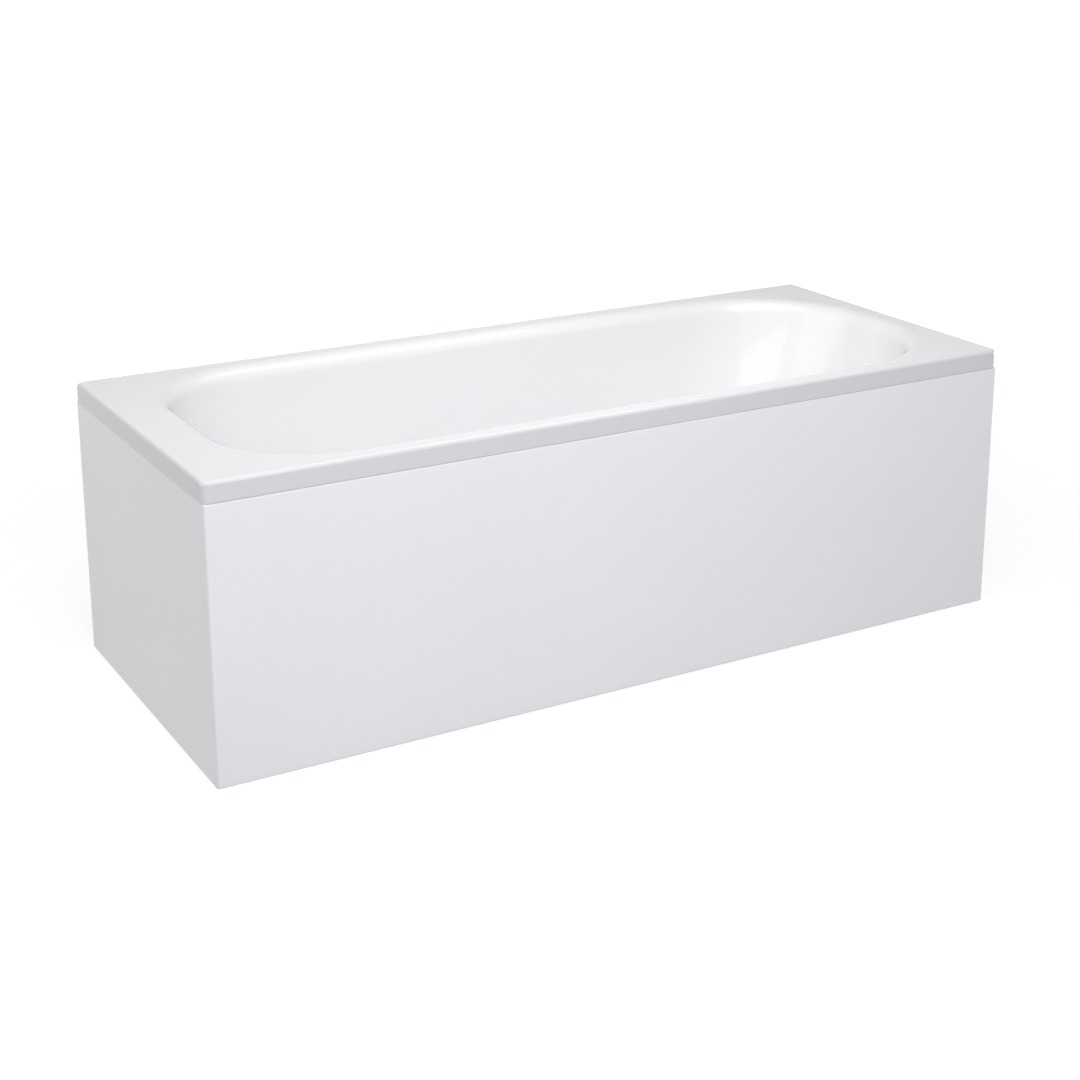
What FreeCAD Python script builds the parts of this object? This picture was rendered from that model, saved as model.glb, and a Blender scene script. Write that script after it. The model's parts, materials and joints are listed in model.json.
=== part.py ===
import FreeCAD
import Part
import math
import os

# Rectangular acrylic bath for a room corner, with an L-shaped panel on its front and foot end.
# Millimetres. Origin on the floor under the middle of the rim, +X to the head end, +Y to the back
# wall, +Z up. The back and the head end stand against walls, so they carry no panel.

V = FreeCAD.Vector

# Bath shell: rim
bath_length = 1700.0
bath_width = 700.0
floor_clearance = 150.0  # ground to the inside of the bath floor
well_depth = 400.0  # rim top to the inside of the bath floor
laminate = 6.0  # acrylic sheet and its glass-fibre backing
skirt_depth = 38.0
skirt_wall = 5.0
rim_edge_radius = 7.0
rim_corner_radius = 14.0
skirt_lip_radius = 1.0
side_rim = 30.0  # flat rim beside the well, before the roll
head_rim = 30.0
foot_rim = 82.0

# Bath shell: well, as a roll, a slightly hollow wall and a floor radius that all run tangent
roll_radius = 30.0
foot_corner_radius = 220.0  # plan radius of the well at the rim
head_corner_radius = 280.0
foot_floor_corner_radius = 100.0  # plan radius where the floor turns flat
head_floor_corner_radius = 120.0
side_tilt_top = 4.0  # degrees from upright under the roll
side_tilt_low = 14.0  # degrees from upright above the floor radius
side_floor_radius = 80.0
foot_tilt_top = 6.0
foot_tilt_low = 18.0
foot_floor_radius = 90.0
head_tilt_top = 12.0
head_tilt_low = 36.0
head_floor_radius = 120.0
roll_sections = 7  # loft sections through the roll, the wall and the floor radius
wall_sections = 11
floor_sections = 8

# Fits between pieces
seam = 0.3  # gap between pieces that are pushed together
thread_clearance = 0.3  # radial, a plain bore standing for a thread
slip = 0.05  # radial, pins that turn in a bore
pilot_clearance = 0.1  # radial, round a wood screw

# Base board and rim battens
board_thickness = 16.0
board_side_margin = 18.0
board_head_margin = 68.0
board_waste_gap = 85.0
batten_height = 25.0
batten_gap = 2.0  # to the skirt and to the roll
foot_batten_width = 62.0

# Leg rails, studs and pads
rail_width = 40.0
rail_height = 30.0
rail_sheet = 2.5
rail_inset = 105.0  # from the board's ends
leg_spacing = 480.0
rail_overhang = 30.0
rail_screw_pitch = 80.0
stud_radius = 6.0
stud_above_rail = 22.0
stud_chamfer = 1.0
stud_hole_clearance = 1.0
nut_across_flats = 19.0
nut_height = 10.0
pad_radius = 28.0
pad_neck_radius = 14.0
pad_foot_height = 8.0
pad_height = 34.0
pad_socket_depth = 24.0
pad_edge_radius = 2.0

# Panels
panel_setback = 1.0  # behind the face of the rim's skirt
panel_sheet = 4.0
panel_return = 24.0
panel_edge_radius = 3.0
panel_corner_radius = 6.0
panel_seam = 0.4  # under the skirt
panel_floor_gap = 2.0
angle_leg = 18.0  # angle strip inside the panel corner
angle_sheet = 2.0
angle_end_gap = 28.0

# Panel clips, floor blocks and wall brackets
clip_sheet = 1.5
clip_width = 30.0
clip_room = 3.0  # behind the panel's return
clip_inset = 5.0
front_clip_pitch = 480.0
front_clip_count = 4
end_clip_pitch = 360.0
end_clip_count = 2
block_length = 44.0
block_depth = 40.0
block_base = 5.0
block_height = 14.0
block_rib = 8.0
block_lip = 14.0
block_lip_thickness = 3.5
block_hole_radius = 2.75
block_hole_reach = 26.0
front_block_spacing = 1200.0
end_block_spacing = 400.0
wall_bracket_width = 36.0
wall_bracket_sheet = 2.0
wall_bracket_drop = 40.0
bracket_skirt_gap = 7.0
bracket_screw_pitch = 20.0
wall_hole_radius = 3.0
wall_hole_drop = 23.0
back_bracket_spacing = 1000.0
head_bracket_spacing = 300.0

# Wood screws
screw_shank_radius = 2.0
screw_head_radius = 4.0
screw_head_height = 2.4
screw_slot = 1.0
rail_screw_length = 12.0
batten_screw_length = 14.0

# Waste in the bath floor
waste_from_floor_edge = 107.0
seat_radius = 37.0
seat_slope = 8.0
seat_depth = 4.0
seat_boss_margin = 5.0
waste_hole_radius = 26.0
upper_seal_thickness = 1.5
lower_seal_thickness = 3.0
seal_margin = 1.0
flange_radius = 35.0
flange_plate = 3.0
flange_tube_radius = 25.0
flange_tube_wall = 3.0
flange_tube_length = 21.5
spoke_width = 4.0
spoke_height = 3.0
hub_radius = 7.0
body_radius = 30.0
body_wall = 4.0
body_flange_radius = 38.0
body_flange_thickness = 5.0
body_depth = 48.0
tail_length = 16.0
pipe_radius = 20.0  # 40 mm waste pipe
pipe_wall = 3.0
plug_radius = 31.0
plug_edge = 2.0
plug_crown = 3.0
plug_seal_radius = 29.0
plug_seal_width = 6.0
plug_seal_thickness = 1.5
stem_radius = 3.0
stem_length = 39.0

# Lift lever under the plug
lever_reach = 17.0
lever_dip = 4.4
lever_tip_radius = 3.0
lever_boss_radius = 4.5
lever_width = 8.0
lever_thickness = 4.0
lever_pin_radius = 2.0
lever_pin_length = 46.0

# Overflow in the foot-end wall
overflow_drop = 90.0  # rim top to the middle of the overflow
overflow_hole_radius = 26.0
overflow_seal_thickness = 3.0
overflow_seat_gap = 0.6  # face plate to the hollow wall
overflow_plate_radius = 36.0
overflow_plate = 3.5
overflow_tube_length = 26.0
overflow_flange_radius = 38.0
overflow_flange_thickness = 5.0
overflow_box_radius = 33.0
overflow_box_depth = 44.0
knob_radius = 33.0
knob_height = 15.0
knob_gap = 7.0
knob_edge_radius = 4.0
knob_wall = 3.0
knob_grip_width = 9.0
knob_grip_height = 6.0
spindle_radius = 4.0
cam_radius = 12.0
cam_height = 6.0
cam_gap = 5.0
cam_pin_radius = 2.0
cam_pin_height = 4.0
spindle_seat = 9.0

# Overflow pipe, control cable and trap
overflow_pipe_radius = 16.0
overflow_pipe_wall = 2.0
overflow_spigot_length = 20.0
spigot_margin = 1.5  # to the back of the overflow body
inlet_spigot_length = 26.0
inlet_height = 19.0  # middle of the inlet above the bottom of the waste body
pipe_bend = 60.0
pipe_nut_radius = 24.0
pipe_nut_length = 22.0
nut_ribs = 12
nut_rib_radius = 1.5
cable_radius = 3.0
cable_offset = 32.0
cable_seat = 12.0
gland_radius = 6.0
gland_length = 26.0
lug_length = 20.0
lug_depth = 14.0
lug_height = 16.0
trap_bend = 28.0
trap_dip_run = 16.0
trap_floor_gap = 8.0
trap_rise = 16.0
trap_nut_radius = 29.0
trap_nut_length = 24.0
outlet_wall_gap = 50.0

# Places that follow from the sizes above
rim_height = floor_clearance + well_depth
half_length = bath_length / 2
half_width = bath_width / 2
skirt_bottom = rim_height - skirt_depth
rim_underside = rim_height - laminate
well_x0 = -half_length + foot_rim
well_x1 = half_length - head_rim
well_half = half_width - side_rim
SIDE = (side_tilt_top, side_tilt_low, side_floor_radius)
FOOT = (foot_tilt_top, foot_tilt_low, foot_floor_radius)
HEAD = (head_tilt_top, head_tilt_low, head_floor_radius)


def fuse(first, *others):
    """One solid from several that share faces or overlap."""
    return first.fuse(list(others)).removeSplitter()


def cut(shape, *tools):
    """The shape with the tools taken away."""
    return shape.cut(list(tools))


def box(x_range, y_range, z_range):
    """A block between two limits on each axis."""
    low = V(x_range[0], y_range[0], z_range[0])
    return Part.makeBox(x_range[1] - x_range[0], y_range[1] - y_range[0], z_range[1] - z_range[0], low)


def disc(radius, z_range, x=0.0, y=0.0):
    """An upright cylinder."""
    return Part.makeCylinder(radius, z_range[1] - z_range[0], V(x, y, z_range[0]))


def ring(outer, inner, z_range, x=0.0, y=0.0):
    """An upright tube."""
    return cut(disc(outer, z_range, x, y), disc(inner, z_range, x, y))


def rod(radius, start, end):
    """A cylinder from one point to another."""
    way = end - start
    return Part.makeCylinder(radius, way.Length, start, way)


def edges_at(shape, height):
    """The edges that lie flat at a height."""
    near = 1e-6
    boxes = [(edge, edge.BoundBox) for edge in shape.Edges]
    return [e for e, b in boxes if abs(b.ZMin - height) < near and abs(b.ZMax - height) < near]


def upright_edges(shape):
    """The straight edges that run up and down."""
    near = 1e-6
    boxes = [(edge, edge.BoundBox) for edge in shape.Edges]
    return [e for e, b in boxes if b.XLength < near and b.YLength < near]


def turned(shape, degrees):
    """A copy turned about the upright axis through the origin."""
    copy = shape.copy()
    copy.rotate(V(0, 0, 0), V(0, 0, 1), degrees)
    return copy


def turned_over(shape):
    """A copy with its top below."""
    copy = shape.copy()
    copy.rotate(V(0, 0, 0), V(1, 0, 0), 180)
    return copy


def moved(shape, x, y, z):
    """A copy at another place."""
    copy = shape.copy()
    copy.translate(V(x, y, z))
    return copy


def spread(count, pitch):
    """Evenly spaced places about zero."""
    return [(i - (count - 1) / 2) * pitch for i in range(count)]


def rounded_outline(x0, x1, half, z, radius0, radius1):
    """A closed outline of lines and quarter circles, with one radius at each end."""
    corners = [(x1, -half, radius1, -90), (x1, half, radius1, 0),
               (x0, half, radius0, 90), (x0, -half, radius0, 180)]
    arcs = []
    for x, y, radius, start in corners:
        middle = V(x - math.copysign(radius, x - (x0 + x1) / 2), y - math.copysign(radius, y), z)
        circle = Part.Circle(middle, V(0, 0, 1), radius)
        arcs.append(Part.Arc(circle, math.radians(start), math.radians(start + 90)).toShape())
    edges = []
    for arc, following in zip(arcs, arcs[1:] + arcs[:1]):
        edges.append(arc)
        edges.append(Part.LineSegment(arc.Vertexes[-1].Point, following.Vertexes[0].Point).toShape())
    return Part.Wire(edges)


def rounded_slab(half_x, half_y, radius, z_range):
    """A block about the upright axis, with round upright corners."""
    outline = rounded_outline(-half_x, half_x, half_y, z_range[0], radius, radius)
    return Part.Face(outline).extrude(V(0, 0, z_range[1] - z_range[0]))


def swept(radius, points, bend):
    """A round bar along straight runs, with a tangent arc of the same radius at each corner."""
    edges = []
    start = points[0]
    for before, corner, after in zip(points, points[1:], points[2:]):
        into = (corner - before).normalize()
        out = (after - corner).normalize()
        turn = into.getAngle(out)
        back = bend * math.tan(turn / 2)
        begin = corner - into * back
        end = corner + out * back
        inward = (out - into).normalize()
        middle = corner + inward * (bend / math.cos(turn / 2) - bend)
        if (begin - start).Length > 1e-6:
            edges.append(Part.LineSegment(start, begin).toShape())
        edges.append(Part.Arc(begin, middle, end).toShape())
        start = end
    edges.append(Part.LineSegment(start, points[-1]).toShape())
    section = Part.Wire(Part.Circle(points[0], points[1] - points[0], radius).toShape())
    return Part.Wire(edges).makePipeShell([section], True, False)


def screw(length):
    """A wood screw: slotted pan head above zero, shank below."""
    head = disc(screw_head_radius, (0.0, screw_head_height))
    head = head.makeFillet(screw_head_height / 2, edges_at(head, screw_head_height))
    slot = box((-screw_head_radius, screw_head_radius), (-screw_slot / 2, screw_slot / 2),
               (screw_head_height / 2, screw_head_height))
    return fuse(cut(head, slot), disc(screw_shank_radius, (-length, 0.0)))


def screw_hole(length, clearance):
    """What a screw's shank needs to be clear."""
    return disc(screw_shank_radius + clearance, (-length, screw_head_height))


def hex_nut(z0, x, y):
    """A nut on a stud, with its corners turned off."""
    corner = nut_across_flats / math.sqrt(3)
    points = [V(corner * math.cos(math.radians(60 * i)), corner * math.sin(math.radians(60 * i)), 0)
              for i in range(7)]
    prism = Part.Face(Part.makePolygon(points)).extrude(V(0, 0, nut_height))
    chamfer = corner - nut_across_flats / 2
    cone = Part.makeCone(nut_across_flats / 2, corner, chamfer)
    turned_blank = fuse(cone, disc(corner, (chamfer, nut_height - chamfer)),
                        moved(turned_over(cone), 0, 0, nut_height))
    bore = disc(stud_radius + thread_clearance, (0.0, nut_height))
    return moved(cut(prism.common(turned_blank), bore), x, y, z0)


# The well's upright profile: drop below the rim against how far the wall has come in


def profile_radii(profile, grow):
    """Roll, wall and floor radius of a profile, moved out into the laminate by grow."""
    tilt_top, tilt_low, floor_radius = profile
    sin_top, sin_low = math.sin(math.radians(tilt_top)), math.sin(math.radians(tilt_low))
    left = well_depth - roll_radius * (1 - sin_top) - floor_radius * (1 - sin_low)
    wall_radius = left / (sin_low - sin_top)
    return roll_radius - grow, wall_radius + grow, floor_radius + grow


def inset(profile, drop, grow=0.0):
    """How far the wall stands in from the edge of the roll, at a drop below it."""
    roll, wall, floor = profile_radii(profile, grow)
    top, low = math.radians(profile[0]), math.radians(profile[1])
    roll_drop = roll * (1 - math.sin(top))
    wall_drop = wall * (math.sin(low) - math.sin(top))
    if drop <= roll_drop:
        return roll * math.sin(math.acos(1 - drop / roll))
    if drop <= roll_drop + wall_drop:
        tilt = math.asin(math.sin(top) + (drop - roll_drop) / wall)
        return roll * math.cos(top) + wall * (math.cos(top) - math.cos(tilt))
    sine = 1 - max(well_depth - drop, 0.0) / floor
    to_floor = roll * math.cos(top) + wall * (math.cos(top) - math.cos(low))
    return to_floor + floor * (math.cos(low) - math.sqrt(max(1 - sine * sine, 0.0)))


def wall_tilt(profile, drop):
    """The wall's angle from upright, in degrees, at a drop on its hollow stretch."""
    roll, wall, _ = profile_radii(profile, 0.0)
    top = math.sin(math.radians(profile[0]))
    return math.degrees(math.asin(top + (drop - roll * (1 - top)) / wall))


def well_section(drop, grow):
    """The well's plan outline at a drop below the rim, inside or moved out by grow."""
    side = inset(SIDE, drop, grow)
    share = side / inset(SIDE, well_depth)
    foot_radius = foot_corner_radius + (foot_floor_corner_radius - foot_corner_radius) * share
    head_radius = head_corner_radius + (head_floor_corner_radius - head_corner_radius) * share
    x0 = well_x0 + inset(FOOT, drop, grow)
    x1 = well_x1 - inset(HEAD, drop, grow)
    return rounded_outline(x0, x1, well_half - side, rim_height - grow - drop, foot_radius, head_radius)


def eased(count, turn):
    """Shares from 0 to 1 - cos(turn) of a circle's radius, at equal angles."""
    return [1 - math.cos(turn * i / (count - 1)) for i in range(count)]


def section_drops(grow):
    """Drops at which the well is cut into outlines, closest where it turns fastest."""
    roll, _, floor = profile_radii(SIDE, grow)
    down = [roll * share for share in eased(roll_sections, math.radians(90 - side_tilt_top))]
    up = [floor * share for share in eased(floor_sections, math.radians(90 - side_tilt_low))]
    wall = well_depth - down[-1] - up[-1]
    between = [down[-1] + wall * share / 2 for share in eased(wall_sections + 2, math.pi)[1:-1]]
    return down + between + [well_depth - rise for rise in reversed(up)]


def well_solid(grow):
    """The space inside the well, or that space with the laminate round it."""
    space = Part.makeLoft([well_section(drop, grow) for drop in section_drops(grow)], True, False)
    return space if space.Volume > 0 else space.reversed()  # its faces look outwards


# Places of the pieces, from the sizes above

floor_foot_x = well_x0 + inset(FOOT, well_depth)
floor_head_x = well_x1 - inset(HEAD, well_depth)
floor_half = well_half - inset(SIDE, well_depth)
waste_x = floor_foot_x + waste_from_floor_edge

board_top = floor_clearance - laminate
rail_top = board_top - board_thickness
board_x0 = waste_x + board_waste_gap
board_x1 = floor_head_x - board_head_margin
board_half = floor_half - board_side_margin
rail_places = {"foot": board_x0 + rail_inset, "head": board_x1 - rail_inset}
leg_rows = spread(2, leg_spacing)

batten_bottom = rim_underside - batten_height
batten_outer = skirt_wall + batten_gap  # in from the rim's edge
batten_end = batten_outer + rim_corner_radius

panel_front_y = -half_width + panel_setback
panel_foot_x = -half_length + panel_setback
panel_head_x = half_length - panel_setback
panel_back_y = half_width - panel_setback
panel_top = skirt_bottom - panel_seam

front_clips = spread(front_clip_count, front_clip_pitch)
end_clips = spread(end_clip_count, end_clip_pitch)
clip_start = batten_outer - panel_setback + clip_inset  # in from the panel's face
clip_back = panel_return + clip_room + clip_sheet
clip_screw_spot = ((clip_start + panel_return) / 2, batten_bottom - clip_sheet)
back_brackets = spread(2, back_bracket_spacing)
head_brackets = spread(2, head_bracket_spacing)
bracket_shelf = skirt_bottom - bracket_skirt_gap

seat_top = floor_clearance - seat_depth
seat_under = seat_top - laminate
flange_seat = seat_top + upper_seal_thickness
flange_top = flange_seat + flange_plate
flange_foot = flange_seat - flange_tube_length
plug_under = flange_top + seam + plug_seal_thickness
stem_bottom = plug_under - stem_length
body_top = seat_under - lower_seal_thickness
body_bottom = body_top - body_depth
tail_bottom = body_bottom - tail_length
pivot_z = stem_bottom - seam - lever_tip_radius + lever_dip
inlet_z = body_bottom + inlet_height
inlet_end = waste_x - body_radius - inlet_spigot_length
cable_z = inlet_z

overflow_tilt = wall_tilt(FOOT, overflow_drop)
overflow_point = V(well_x0 + inset(FOOT, overflow_drop), 0, rim_height - overflow_drop)
overflow_face = overflow_seat_gap + overflow_plate
overflow_front = -laminate - overflow_seal_thickness  # front of the overflow body, behind the wall
overflow_back = overflow_front - overflow_box_depth
spigot_z = overflow_back + overflow_pipe_radius + spigot_margin
spigot_end = overflow_box_radius + overflow_spigot_length
knob_base = overflow_face + knob_gap
knob_top = knob_base + knob_height

trap_dip_z = trap_floor_gap + pipe_radius
trap_riser_y = 2 * trap_bend + trap_dip_run
outlet_z = trap_dip_z + 2 * trap_bend + trap_rise
outlet_y = half_width - outlet_wall_gap


def on_overflow(shape):
    """A piece drawn about the upright axis, set on the foot-end wall: its up points into the well."""
    copy = shape.copy()
    copy.rotate(V(0, 0, 0), V(0, 1, 0), 90 - overflow_tilt)
    copy.translate(overflow_point)
    return copy


def overflow_place(x, y, z):
    """A point of a piece drawn as on_overflow takes it."""
    return on_overflow(Part.Vertex(x, y, z)).Point


def at_front(shape, x):
    """A piece drawn with its +Y pointing in from the panel's face, set behind the front panel."""
    return moved(shape, x, panel_front_y, 0)


def at_foot(shape, y):
    """The same piece behind the end panel."""
    return moved(turned(shape, -90), panel_foot_x, y, 0)


def at_back(shape, x):
    """A piece drawn with its +Y pointing in from a wall, set at the back wall."""
    return moved(turned(shape, 180), x, half_width, 0)


def at_head(shape, y):
    """The same piece at the head-end wall."""
    return moved(turned(shape, 90), half_length, y, 0)


# Bath shell, board and battens


def bath_shell():
    """Moulded shell: flat rim with a turned-down skirt, well, waste seat and overflow hole."""
    blank = rounded_slab(half_length, half_width, rim_corner_radius, (skirt_bottom, rim_height))
    blank = blank.makeFillet(rim_edge_radius, edges_at(blank, rim_height))
    blank = blank.makeFillet(skirt_lip_radius, edges_at(blank, skirt_bottom))
    hollow = rounded_slab(half_length - skirt_wall, half_width - skirt_wall, rim_corner_radius - skirt_wall,
                          (skirt_bottom, rim_underside))
    hollow = hollow.makeFillet(rim_edge_radius - skirt_wall, edges_at(hollow, rim_underside))
    shell = fuse(cut(blank, hollow), well_solid(laminate))
    boss = disc(seat_radius + seat_slope + seat_boss_margin, (seat_under, board_top), waste_x)
    dish = moved(Part.makeCone(seat_radius, seat_radius + seat_slope, seat_depth), waste_x, 0, seat_top)
    hole = disc(waste_hole_radius, (seat_under, floor_clearance), waste_x)
    through = 3 * laminate
    overflow_hole = on_overflow(disc(overflow_hole_radius, (-through, through)))
    return cut(fuse(shell, boss), well_solid(0.0), dish, hole, overflow_hole)


def rail_screw_spots():
    """Where the rail screws' heads bear on the rails."""
    return [(x, y, rail_top - rail_sheet) for x in rail_places.values() for y in spread(4, rail_screw_pitch)]


def base_board():
    """Chipboard bonded under the bath floor, with pilot holes for the rail screws."""
    board = box((board_x0, board_x1), (-board_half, board_half), (rail_top, board_top))
    hole = turned_over(screw_hole(rail_screw_length, pilot_clearance))
    return cut(board, *[moved(hole, *spot) for spot in rail_screw_spots()])


def rim_battens():
    """Timber strips bonded under the rim: the foot and head ones run across, the others between them."""
    z_range = (batten_bottom, rim_underside)
    foot_x = (-half_length + batten_outer, -half_length + batten_outer + foot_batten_width)
    head_x = (half_length - head_rim + batten_gap, half_length - batten_outer)
    across = (-half_width + batten_end, half_width - batten_end)
    along = (foot_x[1] + batten_gap, head_x[0] - batten_gap)
    side_y = (half_width - side_rim + batten_gap, half_width - batten_outer)
    blanks = {
        "front": box(along, (-side_y[1], -side_y[0]), z_range),
        "back": box(along, side_y, z_range),
        "foot": box(foot_x, across, z_range),
        "head": box(head_x, across, z_range),
    }
    clip_hole = moved(turned_over(screw_hole(batten_screw_length, pilot_clearance)), 0, *clip_screw_spot)
    holes = {
        "front": [at_front(clip_hole, x) for x in front_clips],
        "back": [at_back(hole, x) for hole in bracket_screw_holes(side_rim) for x in back_brackets],
        "foot": [at_foot(clip_hole, y) for y in end_clips],
        "head": [at_head(hole, y) for hole in bracket_screw_holes(head_rim) for y in head_brackets],
    }
    return {side: cut(blanks[side], *holes[side]) for side in blanks}


# Legs


def leg_rail(x):
    """A steel channel under the board, open below, with a hole for each stud and screw."""
    half = leg_spacing / 2 + rail_overhang
    rail = box((x - rail_width / 2, x + rail_width / 2), (-half, half), (rail_top - rail_height, rail_top))
    bends = [e for e in edges_at(rail, rail_top) if e.BoundBox.YLength > rail_width]
    rail = rail.makeFillet(rail_sheet, bends)
    inner = rail_width / 2 - rail_sheet
    hollow = box((x - inner, x + inner), (-half, half), (rail_top - rail_height, rail_top - rail_sheet))
    web = (rail_top - rail_sheet, rail_top)
    studs = [disc(stud_radius + stud_hole_clearance, web, x, y) for y in leg_rows]
    hole = turned_over(screw_hole(rail_screw_length, pilot_clearance))
    screws = [moved(hole, *spot) for spot in rail_screw_spots() if spot[0] == x]
    return cut(rail, hollow, *studs, *screws)


def leg_nuts(depth):
    """A nut on every stud, a depth below the rails' webs."""
    z0 = rail_top - rail_sheet - depth - nut_height
    return [hex_nut(z0, x, y) for x in rail_places.values() for y in leg_rows]


def leg_stud(x, y):
    """A threaded stud, plain here, with turned ends."""
    bottom = pad_height - pad_socket_depth
    stud = disc(stud_radius, (bottom, rail_top + stud_above_rail), x, y)
    return stud.makeChamfer(stud_chamfer, edges_at(stud, bottom) + edges_at(stud, rail_top + stud_above_rail))


def leg_pad(x, y):
    """A plastic foot that the stud stands in."""
    foot = disc(pad_radius, (0.0, pad_foot_height))
    foot = foot.makeFillet(pad_edge_radius, edges_at(foot, 0.0) + edges_at(foot, pad_foot_height))
    shoulder = pad_radius - 2 * pad_edge_radius
    neck = Part.makeCone(shoulder, pad_neck_radius, pad_height - pad_foot_height, V(0, 0, pad_foot_height))
    socket = disc(stud_radius + pilot_clearance, (pad_height - pad_socket_depth, pad_height))
    return moved(cut(fuse(foot, neck), socket), x, y, 0)


# Panels and what holds them


def on_panel_edge(edge):
    """Whether an edge bounds the outside of the panels at their top, their foot or a free end."""
    near = 1e-6
    b = edge.BoundBox
    level = b.ZLength < near and min(abs(b.ZMin - panel_floor_gap), abs(b.ZMin - panel_top)) < near
    outside = (b.YMax < panel_front_y + panel_corner_radius + near
               or b.XMax < panel_foot_x + panel_corner_radius + near)
    front_end = abs(b.XMin - panel_head_x) < near and abs(b.YMax - panel_front_y) < near
    back_end = abs(b.YMin - panel_back_y) < near and abs(b.XMax - panel_foot_x) < near
    return (level and outside) or front_end or back_end


def panel_pair():
    """Front and end panel: one shallow tray round the corner, parted on the mitre."""
    z_range = (panel_floor_gap, panel_top)
    inner_x = panel_foot_x + panel_return
    inner_y = panel_front_y + panel_return
    tray = fuse(box((panel_foot_x, panel_head_x), (panel_front_y, inner_y), z_range),
                box((panel_foot_x, inner_x), (panel_front_y, panel_back_y), z_range))
    corner = min(upright_edges(tray), key=lambda e: e.BoundBox.XMin + e.BoundBox.YMin)
    tray = tray.makeFillet(panel_corner_radius, [corner])
    tray = tray.makeFillet(panel_edge_radius, [e for e in tray.Edges if on_panel_edge(e)])
    inside_z = (panel_floor_gap + panel_sheet, panel_top - panel_sheet)
    front_pocket = box((panel_foot_x + panel_sheet, panel_head_x - panel_sheet),
                       (panel_front_y + panel_sheet, inner_y), inside_z)
    end_pocket = box((panel_foot_x + panel_sheet, inner_x),
                     (panel_front_y + panel_sheet, panel_back_y - panel_sheet), inside_z)
    tray = cut(tray, front_pocket, end_pocket)
    reach = bath_length + bath_width
    corners = [(-reach, -reach), (reach, reach), (reach, -reach)]
    mitre = [V(panel_foot_x + x, panel_front_y + y, 0) for x, y in corners]
    front_side = Part.Face(Part.makePolygon(mitre + mitre[:1])).extrude(V(0, 0, rim_height))
    back_off = math.sqrt(2) * seam / 2
    return tray.common(moved(front_side, 0, -back_off, 0)), tray.cut(moved(front_side, 0, back_off, 0))


def panel_angle():
    """Angle strip bonded inside the corner, across the panels' mitre."""
    x0 = panel_foot_x + panel_sheet
    y0 = panel_front_y + panel_sheet
    z_range = (panel_floor_gap + angle_end_gap, panel_top - angle_end_gap)
    return fuse(box((x0, x0 + angle_leg), (y0, y0 + angle_sheet), z_range),
                box((x0, x0 + angle_sheet), (y0, y0 + angle_leg), z_range))


def panel_clip():
    """A spring strip bent to a C, on the batten's underside and under a panel's top return."""
    lower = panel_top - panel_sheet - clip_sheet
    across = (-clip_width / 2, clip_width / 2)
    legs = fuse(box(across, (clip_start, clip_back), (batten_bottom - clip_sheet, batten_bottom)),
                box(across, (clip_back - clip_sheet, clip_back), (lower, batten_bottom)),
                box(across, (clip_start, clip_back), (lower, lower + clip_sheet)))
    hole = turned_over(screw_hole(batten_screw_length, pilot_clearance))
    return cut(legs, moved(hole, 0, *clip_screw_spot))


def floor_block():
    """A plastic block on the floor whose lip holds a panel's lower return down."""
    across = (-block_length / 2, block_length / 2)
    base = box(across, (panel_return, panel_return + block_depth), (0.0, block_base))
    rib = box(across, (panel_return, panel_return + block_rib), (0.0, block_height))
    lip_z = (panel_floor_gap + panel_sheet, panel_floor_gap + panel_sheet + block_lip_thickness)
    lip = box(across, (panel_return - block_lip, panel_return + block_rib), lip_z)
    hole = disc(block_hole_radius, (0.0, block_base), 0.0, panel_return + block_hole_reach)
    return cut(fuse(base, rib, lip), hole)


def bracket_screw_places(rim):
    """Wood screws of one wall bracket, driven from inside into the batten."""
    spot_y = rim - batten_gap + wall_bracket_sheet
    return [(x, spot_y, rim_underside - batten_height / 2) for x in spread(2, bracket_screw_pitch)]


def driven_out(shape):
    """A copy of a screw or its hole, turned to point at the wall."""
    copy = shape.copy()
    copy.rotate(V(0, 0, 0), V(1, 0, 0), -90)
    return copy


def bracket_screw_holes(rim):
    """Holes for one wall bracket's screws."""
    hole = driven_out(screw_hole(batten_screw_length, pilot_clearance))
    return [moved(hole, *place) for place in bracket_screw_places(rim)]


def wall_bracket(rim):
    """A strip bent to a Z: up the batten, out under the skirt, and down the wall."""
    across = (-wall_bracket_width / 2, wall_bracket_width / 2)
    inner = rim - batten_gap
    shelf = (bracket_shelf - wall_bracket_sheet, bracket_shelf)
    legs = fuse(box(across, (inner, inner + wall_bracket_sheet), (shelf[0], rim_underside - batten_gap)),
                box(across, (0.0, inner + wall_bracket_sheet), shelf),
                box(across, (0.0, wall_bracket_sheet), (bracket_shelf - wall_bracket_drop, bracket_shelf)))
    hole = driven_out(disc(wall_hole_radius, (0.0, wall_bracket_sheet)))
    return cut(legs, moved(hole, 0, 0, bracket_shelf - wall_hole_drop), *bracket_screw_holes(rim))


# Waste, plug and lift lever


def spider(outer, z_range, bore):
    """Two crossed spokes and a hub that guide a rod in a round opening."""
    half = spoke_width / 2
    spokes = fuse(box((-outer, outer), (-half, half), z_range), box((-half, half), (-outer, outer), z_range),
                  disc(hub_radius, z_range))
    return cut(spokes.common(disc(outer, z_range)), disc(bore, z_range))


def waste_flange():
    """Screwed flange in the bath floor, with the guide for the plug's stem."""
    bore = flange_tube_radius - flange_tube_wall
    plate = disc(flange_radius, (flange_seat, flange_top))
    plate = plate.makeFillet(flange_plate / 2, edges_at(plate, flange_top))
    tube = disc(flange_tube_radius, (flange_foot, flange_seat))
    hollow = disc(bore, (flange_foot, flange_top))
    guide = spider(bore + flange_tube_wall / 2, (flange_foot, flange_foot + spoke_height), stem_radius + seam)
    return moved(fuse(cut(fuse(plate, tube), hollow), guide), waste_x, 0, 0)


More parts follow.
